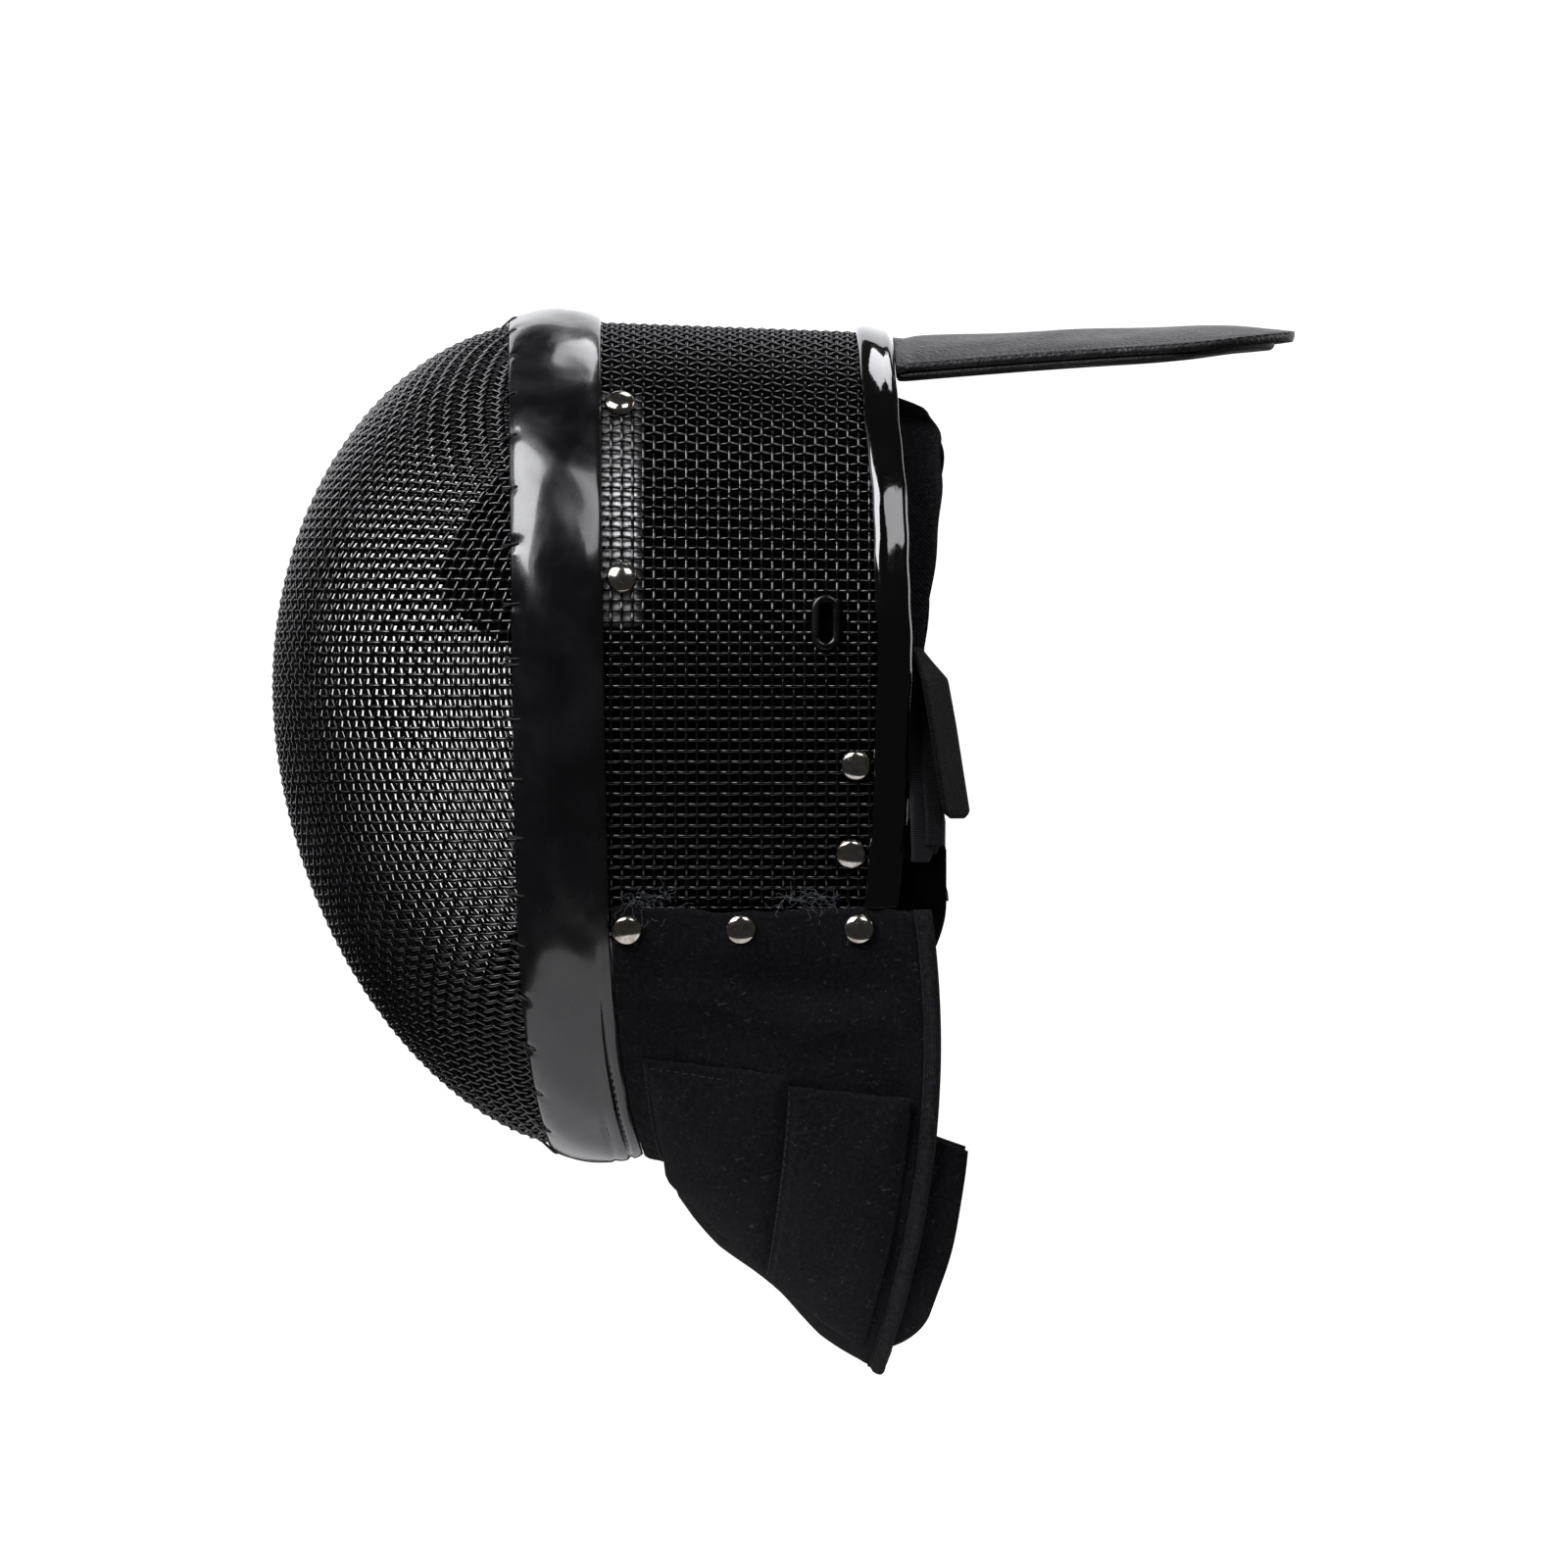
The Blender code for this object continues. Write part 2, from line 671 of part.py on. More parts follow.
def placed(point, out, along=Vector((0.0, 0.0, 1.0))):
    """A matrix at a point whose Z runs along out, and whose X is as near as it can be to along."""
    z = out.normalized()
    y = z.cross(along).normalized()
    x = y.cross(z)
    matrix = Matrix((x, y, z)).transposed().to_4x4()
    matrix.translation = point
    return matrix


def mesh_rivet(name, y, z, layer):
    """(name, seat, outward direction, shank) of a rivet through the side mesh and a piece inside it."""
    angle = angle_at(z)
    seat = side_point(angle, y, -HALF_WALL - GAP)
    return name, seat, arch_normal(angle), HALF_WALL + GAP + layer


def rivet_places():
    """(name, seat, outward direction, shank) of each rivet on the left."""
    places = []
    for name, share in PLATE_RIVET_SHARES:
        z = CENTRE_Z + PLATE_RISE - PLATE_LENGTH * share
        y = RING_Y + ring_shift(z) + FRONT_TRIM_WIDTH / 2 + PLATE_RIVET_INSET
        places.append(mesh_rivet(name, y, z, PLATE_LAYER + PLATE_THICK / 2))
    for name, share in ANCHOR_RIVET_SHARES:
        z = TAB_TOP_Z - TAB_HEIGHT * share
        places.append(mesh_rivet(name, lip_y(z) - ANCHOR_RIVET_INSET, z, TAB_LAYER + TAB_THICK / 2))
    z = BIB_TOP_Z - BIB_RIVET_DROP
    edge = ring_line(0.0, 0.0).y
    front = edge + BIB_RIVET_FRONT
    rear = lip_y(z) - BIB_RIVET_REAR
    for name, share in BIB_RIVET_SHARES:
        along = (front + (rear - front) * share - edge) / BIB_LENGTH
        down = down_at(along, z)
        seat = bib_point(along, down, BIB_THICK / 2 + GAP)
        inner = side_point(angle_at(seat.z), seat.y, HALF_WALL + GAP)
        places.append((name, seat, bib_normal(along, down), (seat - inner).length + PLATE_THICK / 2))
    return places


def make_rivets(look, parts, cutters):
    """Seven rivets a side, and one cutter with all their clearance holes."""
    holes = bmesh.new()
    hole_radius = (RIVET_SHANK + GAP) / math.cos(math.pi / HOLE_SIDES)
    for name, seat, out, shank in rivet_places():
        for side, sign in (("left", 1.0), ("right", -1.0)):
            flip = Vector((sign, 1.0, 1.0))
            matrix = placed(seat * flip, out * flip)
            obj = bpy.data.objects.new(f"rivet_{name}_{side}", rivet_mesh(name, shank))
            parts.objects.link(obj)
            obj.data.materials.append(look)
            obj.matrix_world = matrix
            turn = obj.modifiers.new("turn", "SCREW")
            turn.axis = "Z"
            turn.steps = RIVET_SIDES
            turn.render_steps = RIVET_SIDES
            turn.use_merge_vertices = True
            turn.merge_threshold = 0.00001
            turn.use_smooth_shade = True
            bmesh.ops.create_cone(
                holes,
                cap_ends=True,
                segments=HOLE_SIDES,
                radius1=hole_radius,
                radius2=hole_radius,
                depth=2 * (shank + RIVET_DOME),
                matrix=matrix,
            )
    mesh = bpy.data.meshes.new("rivet_holes")
    bmesh.ops.recalc_face_normals(holes, faces=holes.faces)
    holes.to_mesh(mesh)
    holes.free()
    return add_cutter("rivet_holes", mesh, cutters)


def add_cutter(name, mesh, cutters):
    obj = bpy.data.objects.new(name, mesh)
    cutters.objects.link(obj)
    obj.hide_render = True
    obj.display_type = "WIRE"
    return obj


def oblong(length, width, height, matrix):
    """A loop of points with straight sides and round ends, at a height over a placed plane."""
    radius = width / 2
    straight = length / 2 - radius
    loop = []
    for end in (1.0, -1.0):
        for turn in steps(-math.pi / 2, math.pi / 2, 6):
            x = end * (straight + radius * math.cos(turn))
            loop.append(matrix @ Vector((x, end * radius * math.sin(turn), height)))
    return loop


def make_grommets(look, parts, cutters):
    """The oblong grommet in each side, and the cutter for its hole in the mesh."""
    z = CENTRE_Z + GROMMET_LENGTH * 0.6
    angle = angle_at(z)
    y = lip_y(z) - GROMMET_LENGTH * 0.9
    solids = []
    for side, sign in (("left", 1.0), ("right", -1.0)):
        flip = Vector((sign, 1.0, 1.0))
        seat = side_point(angle, y, -HALF_WALL - GAP)
        matrix = placed(seat * flip, arch_normal(angle) * flip)
        border = GROMMET_WIDTH - GROMMET_SLOT
        sleeve = GROMMET_SLOT + 2 * GROMMET_SLEEVE
        foot = -(WIRE_WALL + 2 * GAP)
        rings = (
            (GROMMET_LENGTH, 0.0),
            (GROMMET_LENGTH, GROMMET_RIM * 0.6),
            (GROMMET_LENGTH - GROMMET_RIM, GROMMET_RIM),
            (GROMMET_LENGTH - border + 0.4 * GROMMET_RIM, GROMMET_RIM),
            (GROMMET_LENGTH - border, GROMMET_RIM * 0.7),
            (GROMMET_LENGTH - border, foot),
            (GROMMET_LENGTH - border + 2 * GROMMET_SLEEVE, foot),
            (GROMMET_LENGTH - border + 2 * GROMMET_SLEEVE, 0.0),
        )
        thinner = GROMMET_LENGTH - GROMMET_WIDTH
        sections = [oblong(length, length - thinner, height, matrix) for length, height in rings]
        loft(f"slot_grommet_{side}", sections, look, parts, closed=True)
        width = sleeve + 2 * GAP
        solids.append([oblong(width + thinner, width, h, matrix) for h in (3 * foot, -3 * foot)])
    bm = bmesh.new()
    for near, far in solids:
        a = [bm.verts.new(p) for p in near]
        b = [bm.verts.new(p) for p in far]
        for i in range(len(a)):
            j = (i + 1) % len(a)
            bm.faces.new((a[i], a[j], b[j], b[i]))
        bm.faces.new(a)
        bm.faces.new(b)
    bmesh.ops.recalc_face_normals(bm, faces=bm.faces)
    mesh = bpy.data.meshes.new("slot_holes")
    bm.to_mesh(mesh)
    bm.free()
    return add_cutter("slot_holes", mesh, cutters)


def ribbon(name, stations, width, thickness, look, parts):
    """A strap through stations of (middle, direction of its width)."""
    rows = []
    for middle, across in stations:
        reach = across.normalized() * width / 2
        rows.append([middle - reach, middle, middle + reach])
    return shell(name, rows, thickness, look, parts)


def make_tabs(look, parts):
    """The webbing tab inside each side that the harness is sewn to."""
    rows = []
    for z in steps(TAB_TOP_Z, TAB_TOP_Z - TAB_HEIGHT, 3):
        rear = lip_y(z) + REAR_TRIM_WIDTH
        rows.append([side_point(angle_at(z), y, TAB_LAYER) for y in steps(rear - TAB_LENGTH, rear, 2)])
    left = shell("anchor_tab_left", rows, TAB_THICK, look, parts)
    right = shell("anchor_tab_right", flipped(rows), TAB_THICK, look, parts)
    return [left, right]


def tab_inside(z, y, thickness):
    """Middle of a strap sewn inside the tab."""
    return side_point(angle_at(z), y, TAB_LAYER + TAB_THICK / 2 + GAP + thickness / 2)


def crown_strap_turn(z):
    """The angle at which the crown strap is at this height."""
    rise = -CROWN_STRAP_TOP - CROWN_STRAP_FOOT_Z
    return math.acos(max(0.0, min(1.0, (z - CROWN_STRAP_FOOT_Z) / rise)))


def crown_strap_station(turn):
    """(middle, width direction) of the strap over the back of the head, at an angle from its top."""
    rise = -CROWN_STRAP_TOP - CROWN_STRAP_FOOT_Z
    rear = lip_y(CENTRE_Z) + REAR_TRIM_WIDTH * 0.90
    share = abs(turn) / (math.pi / 2)
    x = CROWN_STRAP_HALF_WIDTH * math.sin(turn)
    y = rear - CROWN_STRAP_SWEEP * share**2
    middle = Vector((x, y, CROWN_STRAP_FOOT_Z + rise * math.cos(turn)))
    return middle, Vector((0.0, 1.0, -CROWN_STRAP_TILT * (1.0 - share)))


def back_strap_middle(turn):
    """The middle of the elastic that sags behind the opening, at an angle from its middle."""
    side_z = TAB_TOP_Z - TAB_HEIGHT * BACK_STRAP_PLACE
    depth = TAB_LAYER + TAB_THICK / 2 + 4 * GAP + STRAP_THICK * 2
    start = side_point(angle_at(side_z), lip_y(side_z) + REAR_TRIM_WIDTH * 0.75, depth)
    bow = max(0.0, math.cos(turn)) ** 0.8
    sag = BACK_STRAP_SAG * math.cos(turn)
    return Vector((start.x * math.sin(turn), start.y + BACK_STRAP_REACH * bow, start.z - sag))


def make_slider(look, parts):
    """A plastic ring round the back strap."""
    turn = math.asin(SLIDER_PLACE)
    middle = back_strap_middle(turn)
    along = back_strap_middle(turn + 0.05) - back_strap_middle(turn - 0.05)
    matrix = placed(middle, along)
    inner = (STRAP_WIDTH / 2 + 2 * GAP, STRAP_THICK / 2 + 3 * GAP)
    outer = (inner[0] + SLIDER_RIM, inner[1] + SLIDER_RIM / 2)
    sections = []
    for (up, side), end in ((outer, -1), (outer, 1), (inner, 1), (inner, -1)):
        corners = ((up, side), (-up, side), (-up, -side), (up, -side))
        sections.append([matrix @ Vector((x, y, end * SLIDER_DEPTH / 2)) for x, y in corners])
    loft("strap_slider", sections, look, parts, closed=True)


def make_harness(strap_look, elastic_look, hook_look, slider_look, parts):
    end_z = TAB_TOP_Z - TAB_HEIGHT * CROWN_STRAP_PLACE
    rear = lip_y(end_z) + REAR_TRIM_WIDTH * CROWN_STRAP_INSET
    foot = (tab_inside(end_z, rear, STRAP_THICK), Vector((0.0, 1.0, 0.0)))
    stations = [foot] + [crown_strap_station(turn) for turn in steps(math.pi / 2, -math.pi / 2, 20)]
    stations.append((Vector((-foot[0].x, foot[0].y, foot[0].z)), foot[1]))
    ribbon("crown_strap", stations, STRAP_WIDTH, STRAP_THICK, strap_look, parts)

    turns = steps(-math.pi / 2, math.pi / 2, 16)
    stations = [(back_strap_middle(turn), Vector((0.0, 0.0, 1.0))) for turn in turns]
    ribbon("back_strap", stations, STRAP_WIDTH, STRAP_THICK, elastic_look, parts)
    make_slider(slider_look, parts)

    stations = []
    start, _ = crown_strap_station(STRAP_END_START)
    lift = STRAP_THICK / 2 + STRAP_END_THICK / 2 + 2 * GAP
    for share in steps(0.0, 1.0, 8):
        z = start.z - STRAP_END_LENGTH * share
        x = crown_strap_station(crown_strap_turn(z))[0].x + lift + STRAP_END_OUT * share
        y = start.y + STRAP_WIDTH * STRAP_END_OFFSET + STRAP_END_BACK * share
        turned = max(0.0, share - STRAP_END_FLAT) / (1.0 - STRAP_END_FLAT)
        twist = math.radians(STRAP_END_TWIST) * turned**1.5
        stations.append((Vector((x, y, z)), Vector((-math.sin(twist), math.cos(twist), 0.0))))
    ribbon("strap_end", stations, STRAP_END_WIDTH, STRAP_END_THICK, hook_look, parts)


def main():
    clear_scene()
    parts = new_collection("Fencing mask")
    cutters = new_collection("Cutters")
    wire = material("black wire mesh", (0.035, 0.035, 0.036), 0.42, 0.5)
    vinyl = material("black vinyl", (0.02, 0.02, 0.021), 0.28)
    channel = material("glossy black channel", (0.012, 0.012, 0.013), 0.12)
    leather = material("black leather", (0.03, 0.03, 0.032), 0.5)
    lining = material("tongue lining", (0.05, 0.048, 0.047), 0.8)
    canvas = material("black canvas", (0.022, 0.022, 0.025), 0.9)
    tape = material("binding tape", (0.018, 0.018, 0.02), 0.85)
    quilt = material("quilted cloth", (0.02, 0.02, 0.023), 0.9)
    padding = material("black padding", (0.015, 0.015, 0.016), 0.95)
    nickel = material("nickel", (0.62, 0.58, 0.53), 0.2, 1.0)
    steel = material("brushed steel", (0.6, 0.6, 0.6), 0.35, 1.0)
    plastic = material("black plastic", (0.02, 0.02, 0.02), 0.35)
    webbing = material("black webbing", (0.02, 0.02, 0.022), 0.85)
    elastic = material("black elastic", (0.028, 0.028, 0.03), 0.8)
    hook = material("hook tape", (0.018, 0.018, 0.02), 0.95)
    grey = material("grey plastic", (0.25, 0.25, 0.26), 0.4)

    rivet_holes = make_rivets(nickel, parts, cutters)
    slot_holes = make_grommets(plastic, parts, cutters)
    make_front_mesh(wire, parts)
    side = make_side_mesh(wire, parts)
    cut(side, rivet_holes)
    cut(side, slot_holes)
    make_front_trim(vinyl, parts)
    make_rear_trim(channel, parts)
    make_liner(padding, parts)
    for plate in make_plates(steel, parts):
        cut(plate, rivet_holes)
    make_pads(padding, parts)
    cut(make_bib(canvas, tape, parts), rivet_holes)
    make_overlays(quilt, parts)
    make_inner_bib(canvas, parts)
    make_tongue(leather, lining, parts)
    for tab in make_tabs(webbing, parts):
        cut(tab, rivet_holes)
    make_harness(webbing, elastic, hook, grey, parts)


main()
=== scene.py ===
"""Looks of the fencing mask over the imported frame: wire, trims, leather, canvas, padding and harness."""

import math
import random

import bmesh
import bpy
import numpy as np
from mathutils import Matrix, Vector
from mathutils.bvhtree import BVHTree


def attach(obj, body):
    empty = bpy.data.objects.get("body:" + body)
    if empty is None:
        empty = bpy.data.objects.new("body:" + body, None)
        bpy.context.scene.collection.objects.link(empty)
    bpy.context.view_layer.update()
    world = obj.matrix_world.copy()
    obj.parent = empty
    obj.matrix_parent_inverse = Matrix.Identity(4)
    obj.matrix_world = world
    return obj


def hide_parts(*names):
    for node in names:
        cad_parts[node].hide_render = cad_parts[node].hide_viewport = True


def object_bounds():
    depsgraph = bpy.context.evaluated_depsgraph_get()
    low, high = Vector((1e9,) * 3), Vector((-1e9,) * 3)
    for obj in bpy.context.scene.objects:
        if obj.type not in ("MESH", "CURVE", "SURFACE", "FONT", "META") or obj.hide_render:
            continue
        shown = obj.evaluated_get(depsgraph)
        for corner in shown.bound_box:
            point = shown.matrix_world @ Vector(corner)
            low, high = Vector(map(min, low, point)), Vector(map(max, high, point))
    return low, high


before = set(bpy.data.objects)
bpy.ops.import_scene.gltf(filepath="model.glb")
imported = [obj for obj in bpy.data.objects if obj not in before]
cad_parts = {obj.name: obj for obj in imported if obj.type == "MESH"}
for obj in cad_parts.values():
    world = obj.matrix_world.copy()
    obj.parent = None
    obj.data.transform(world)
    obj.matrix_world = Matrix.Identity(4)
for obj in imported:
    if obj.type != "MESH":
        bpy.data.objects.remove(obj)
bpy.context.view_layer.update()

# Sizes of the frame that the pieces follow, in metres
MASK_HALF_WIDTH = 0.090
CROWN_RISE = 0.1055
CHIN_DROP = 0.1555
DOME_DEPTH = 0.0886
POLE_DROP = 0.0095
DOME_LOWER_POWER = 1.9
SIDE_LENGTH = 0.0995
SEAT_BACK = 0.0600
UPPER_POWER = 2.0
LOWER_POWER = 1.8
RING_LEAN = 0.0037
CHIN_SETBACK = 0.0096
SETBACK_POWER = 9
CROWN_FALL = 0.0037
REAR_BULGE = 0.0065
HALF_WALL = 0.0010
GAP = 0.0003
FRONT_TRIM_WIDTH = 0.0292
FRONT_TRIM_EDGE = 0.0019
REAR_TRIM_WIDTH = 0.0110
REAR_TRIM_WALL = 0.0013
REAR_TRIM_DROP = 0.0790
LINER_THICK = 0.0050
LINER_DROP = 0.0790
LINER_NOTCH = 0.0140
NOTCH_BLEND = 0.0020
LINER_INSET = 0.0015
TEMPLE_PAD_RISE = 0.0610
TEMPLE_PAD_HEIGHT = 0.0580
TEMPLE_PAD_REACH = 0.0230
TEMPLE_PAD_THICK = 0.0080
CHIN_PAD_DROP = 0.0820
CHIN_PAD_REACH = 0.0500
CHIN_PAD_THICK = 0.0080
PLATE_THICK = 0.0012
PLATE_RISE = 0.0840
PLATE_HEIGHT = 0.0750
PLATE_WIDTH = 0.0180
BIB_THICK = 0.0016
BIB_TOP_DROP = 0.0790
BIB_TIP_DROP = 0.2228
BIB_LENGTH = 0.0952
BIB_TIP_LENGTH = 0.0812
BIB_BULGE = 0.0088
BIB_SAG = 0.0035
BIB_POWER = 2.6
MESH_UNDER_BIB = 0.0120
BINDING_WIDTH = 0.0050
BINDING_THICK = 0.0030
OVERLAY_THICK = 0.0034
OVERLAY_DROP = 0.1290
OVERLAY_SLOPE = 0.0110
INNER_BIB_THICK = 0.0015
INNER_BIB_REACH = 0.0150
INNER_BIB_DROP = 0.1540
TONGUE_LENGTH = 0.1280
TONGUE_HALF_WIDTH = 0.0430
TONGUE_THICK = 0.0032
TONGUE_LINING_THICK = 0.0018
TONGUE_ARCH = 0.0092
TONGUE_RISE = 0.0040
TONGUE_TIP_POWER = 2.3
TONGUE_TIP_START = 0.62
TONGUE_ARCH_FADE = 0.45
TONGUE_LINING_SHARE = 0.95
STRAP_WIDTH = 0.0250
STRAP_THICK = 0.0018
CROWN_STRAP_TOP = 0.0150
CROWN_STRAP_HALF_WIDTH = 0.0780
CROWN_STRAP_SWEEP = 0.0105
CROWN_STRAP_TILT = 0.25
TAB_THICK = 0.0014
TAB_DROP = 0.0296
TAB_HEIGHT = 0.0370
TAB_LENGTH = 0.0260
STRAP_END_WIDTH = 0.0200
STRAP_END_THICK = 0.0012
STRAP_END_LENGTH = 0.0620
STRAP_END_OUT = 0.0015
STRAP_END_TWIST = 68
BACK_STRAP_REACH = 0.0130
BACK_STRAP_SAG = 0.0150

LINER_FACE = HALF_WALL + 2 * GAP + PLATE_THICK
BIB_LAYER = HALF_WALL + GAP + BIB_THICK / 2
RING_Y = -SEAT_BACK
CROWN_Z = LINER_FACE + LINER_THICK + CROWN_FALL * SEAT_BACK / SIDE_LENGTH
CENTRE_Z = CROWN_Z - CROWN_RISE
CHIN_Z = CENTRE_Z - CHIN_DROP
POLE_Z = CENTRE_Z - POLE_DROP
BIB_TOP_Z = CENTRE_Z - BIB_TOP_DROP
TAB_TOP_Z = CENTRE_Z - TAB_DROP
CROWN_STRAP_FOOT_Z = TAB_TOP_Z - TAB_HEIGHT * 0.2
TAB_LAYER = HALF_WALL + 2 * GAP + REAR_TRIM_WALL + TAB_THICK / 2

# Woven wire. The crimp is how far a wire leaves the layer at each crossing.
WIRE_PITCH = 0.00338
ARCH_WIRE_PITCH = 0.00341
SIDE_MESH_REACH = 0.1112
WIRE_RADIUS = 0.00056
DOME_WIRE_RADIUS = 0.00067
WIRE_CRIMP = 0.00050
# The dome's wires end this far in front of the ring, and its net is worked out to this far behind it
DOME_EDGE = 0.0060
NET_REACH = 0.012
NET_STEPS = 70
# The slot inside a grommet, which the side wires keep clear of
SLOT_Y = 0.0255
SLOT_Z = -0.08515
SLOT_STRAIGHT = 0.00425
SLOT_CLEAR = 0.0037

# Sewing: the pitch of the front trim's stitches, then pitch, length and radius of the small ones
STITCH_STEP = 0.0186
TRIM_STITCH = (0.0032, 0.0024, 0.00018)
TAPE_STITCH = (0.0030, 0.0021, 0.00013)
QUILT_STITCH = (0.0029, 0.0020, 0.00018)
TONGUE_STITCH = (0.0036, 0.0026, 0.0002)
TRIM_THREAD = 0.00034
# Seams near the chin: share of the trim's half width, upper end, height above the trim's base
CHIN_SEAMS = (("rear", 0.74, -0.193, 0.0009), ("inner", 0.42, -0.222, 0.0017))

# Padding: pressure and largest movement in the simulation
SIM_FRAMES = 20
QUILT_SWELL = (2.5, 0.0004)
TONGUE_SWELL = (2.5, 0.0007)
FOAM_SWELL = (3.0, 0.0006)
# Overlays: first and last share of the bib's length, rise of the top edge
OVERLAYS = (("front", 0.075, 0.580, 0.0038), ("rear", 0.572, 0.965, 0.0006))
# Temple pads: share of the height from the top, share of the reach
TEMPLE_PAD_FORM = np.array([
    (0.00, 0.05), (0.15, 0.33), (0.30, 0.66), (0.55, 1.00), (0.78, 0.95), (0.90, 0.50), (1.00, 0.10),
])

# Steps between the sections of pieces that follow the arch
TRIM_STEP = 0.0019
REAR_TRIM_STEP = 0.0026
LINER_STEP = 0.0036
BACKING_STEP = 0.0048
LINER_CHANNEL = 0.024
# Rows and columns of the bib's cloth on one side
BIB_ROWS = 64
BIB_COLUMNS = 110

# Hardware
RIVET_RADIUS = 0.0049
GROMMET_LENGTH = 0.0175
GROMMET_WIDTH = 0.0090
GROMMET_SLOT = 0.0042
GROMMET_RIM = 0.0016
SLIDER_PLACE = 0.35
SLIDER_HALF_LENGTH = 0.0035

# Lint: first and last place along the bib's top edge, count of fibres
LINT_SEED = 7
LINT_PATCHES = ((-0.037, -0.021, 46), (0.010, 0.029, 56))
LINT_STEP = 0.0008
LINT_RADIUS = 0.000045

# Shapes of loose ends
REAR_TRIM_END = 0.0008
BIB_INSIDE = (0.0, -0.01, -0.20)
SHELL_INSIDE = (0.0, 0.0, -0.12)
# Hook end: height, distance back, share of its full width
STRAP_END_ROWS = (
    (-0.0930, 0.0538, 0.34),
    (-0.0975, 0.0563, 0.62),
    (-0.1030, 0.0597, 0.98),
    (-0.1172, 0.0622, 1.0),
    (-0.1327, 0.0646, 1.0),
    (-0.1466, 0.0668, 1.0),
)
# Elastic loops: front and back run, lowest point, distance outside the strap's root
LOOP_ROWS = (
    (0.0540, 0.0562, -0.1600, 0.0096),
    (0.0583, 0.0600, -0.1550, 0.0070),
    (0.0560, 0.0585, -0.1575, 0.0035),
)
LOOP_WIDTH = 0.0068
LOOP_THICK = 0.0011
# Lining corner: upper and lower end, how far back it reaches, thickness
LINING_TOP_Z = -0.1450
LINING_LOW_Z = -0.1905
LINING_BACK_Y = 0.0634
LINING_THICK = 0.0009

# Stage
CAMERA_FAR = 10.0
PIXEL = 0.00031
FRAME_WIDTH = 1600 * PIXEL
SENSOR = 36.0
FRAME_CENTRE = (0.0124, -0.13578)
FLOOR_RADIUS = 0.19
FLOOR_COLOUR = (0.60, 0.60, 0.60)
FLOOR_GLOW = 0.18
WHITE_GLOW = 1.15
WHITE_RADIUS = 8.0
SURROUND_RADIUS = 40.0
WORLD_GLOW = 0.034
LIGHT_TINT = (0.955, 0.96, 1.0)
LIGHT_AIM = (0.0, -0.02, -0.14)
# Name, place, width and height, power in watts
LIGHTS = (
    ("left", (1.02, -1.09, 1.18), (1.46, 1.05), 45.0),
    ("right", (1.30, 0.72, 1.26), (0.86, 0.75), 7.5),
    ("far_left", (0.10, -1.75, 0.80), (1.20, 0.75), 4.0),
    ("back_right", (-0.80, 0.36, 1.53), (0.60, 0.74), 5.8),
    ("backdrop", (-1.90, 0.0, 0.50), (3.20, 1.90), 24.0),
    ("rear", (-0.60, 1.80, 0.35), (1.00, 1.00), 9.0),
)

# Bands and ribs are given as an angular rate, and a wave texture wants turns
FULL_TURN = 6.2832

# Share of the bib's length, share of its sag
BIB_CENTRE = np.array([
    (0.000, 0.0), (0.060, -1.0), (0.112, -1.5), (0.162, 0.4), (0.250, 0.7), (0.370, 0.9),
    (0.500, 0.7), (0.630, 0.6), (0.720, 0.7), (0.810, 0.7), (0.900, 0.4), (1.000, 0.0),
])


# Shapes of the frame

def arch(angle):
    upper = math.cos(angle) >= 0.0
    power = 2.0 / (UPPER_POWER if upper else LOWER_POWER)
    reach = CROWN_RISE if upper else -CHIN_DROP
    across = math.copysign(abs(math.sin(angle)) ** power, math.sin(angle))
    return MASK_HALF_WIDTH * across, CENTRE_Z + reach * abs(math.cos(angle)) ** power


def angle_at(z):
    if z >= CENTRE_Z:
        return math.acos(min(1.0, (z - CENTRE_Z) / CROWN_RISE) ** (UPPER_POWER / 2))
    return math.acos(-(min(1.0, (CENTRE_Z - z) / CHIN_DROP) ** (LOWER_POWER / 2)))


def arch_normal(angle):
    x0, z0 = arch(angle - 0.01)
    x1, z1 = arch(angle + 0.01)
    return Vector((z0 - z1, 0.0, x1 - x0)).normalized()


def ring_shift(z):
    share = (CROWN_Z - z) / (CROWN_Z - CHIN_Z)
    return RING_LEAN * share + CHIN_SETBACK * max(0.0, share) ** SETBACK_POWER


def lip_y(z):
    return RING_Y + RING_LEAN / 2 + SIDE_LENGTH - REAR_BULGE * ((z - CENTRE_Z) / CROWN_RISE) ** 2


def side_point(angle, y, inward=0.0):
    x, z = arch(angle)
    share = (y - RING_Y) / SIDE_LENGTH
    fall = CROWN_FALL * share * max(0.0, math.cos(angle))
    return Vector((x, y, z - fall)) - arch_normal(angle) * inward


def dome_point(angle, turn, inward=0.0):
    x, z = arch(angle)
    y = RING_Y + ring_shift(z) * math.cos(turn) ** 2 - DOME_DEPTH * math.sin(turn)
    power = 2.0 / DOME_LOWER_POWER if z < POLE_Z else 1.0
    point = Vector((x * math.cos(turn), y, POLE_Z + (z - POLE_Z) * math.cos(turn) ** power))
    out = arch_normal(angle) * math.cos(turn) + Vector((0.0, -1.0, 0.0)) * math.sin(turn)
    return point - out.normalized() * inward


def dome_at(y, z, inward=0.0):
    turn = 0.0
    for _ in range(4):
        ring_z = POLE_Z + (z - POLE_Z) / math.cos(turn)
        back = RING_Y + ring_shift(ring_z) * math.cos(turn) ** 2 - y
        turn = math.asin(max(0.0, min(0.98, back / DOME_DEPTH)))
    ring_z = POLE_Z + (z - POLE_Z) / math.cos(turn)
    return dome_point(angle_at(ring_z), turn, inward)


def trim_base(angle, offset):
    z = arch(angle)[1]
    if offset >= 0.0:
        return side_point(angle, RING_Y + ring_shift(z) + offset)
    return dome_point(angle, math.asin(-offset / DOME_DEPTH))


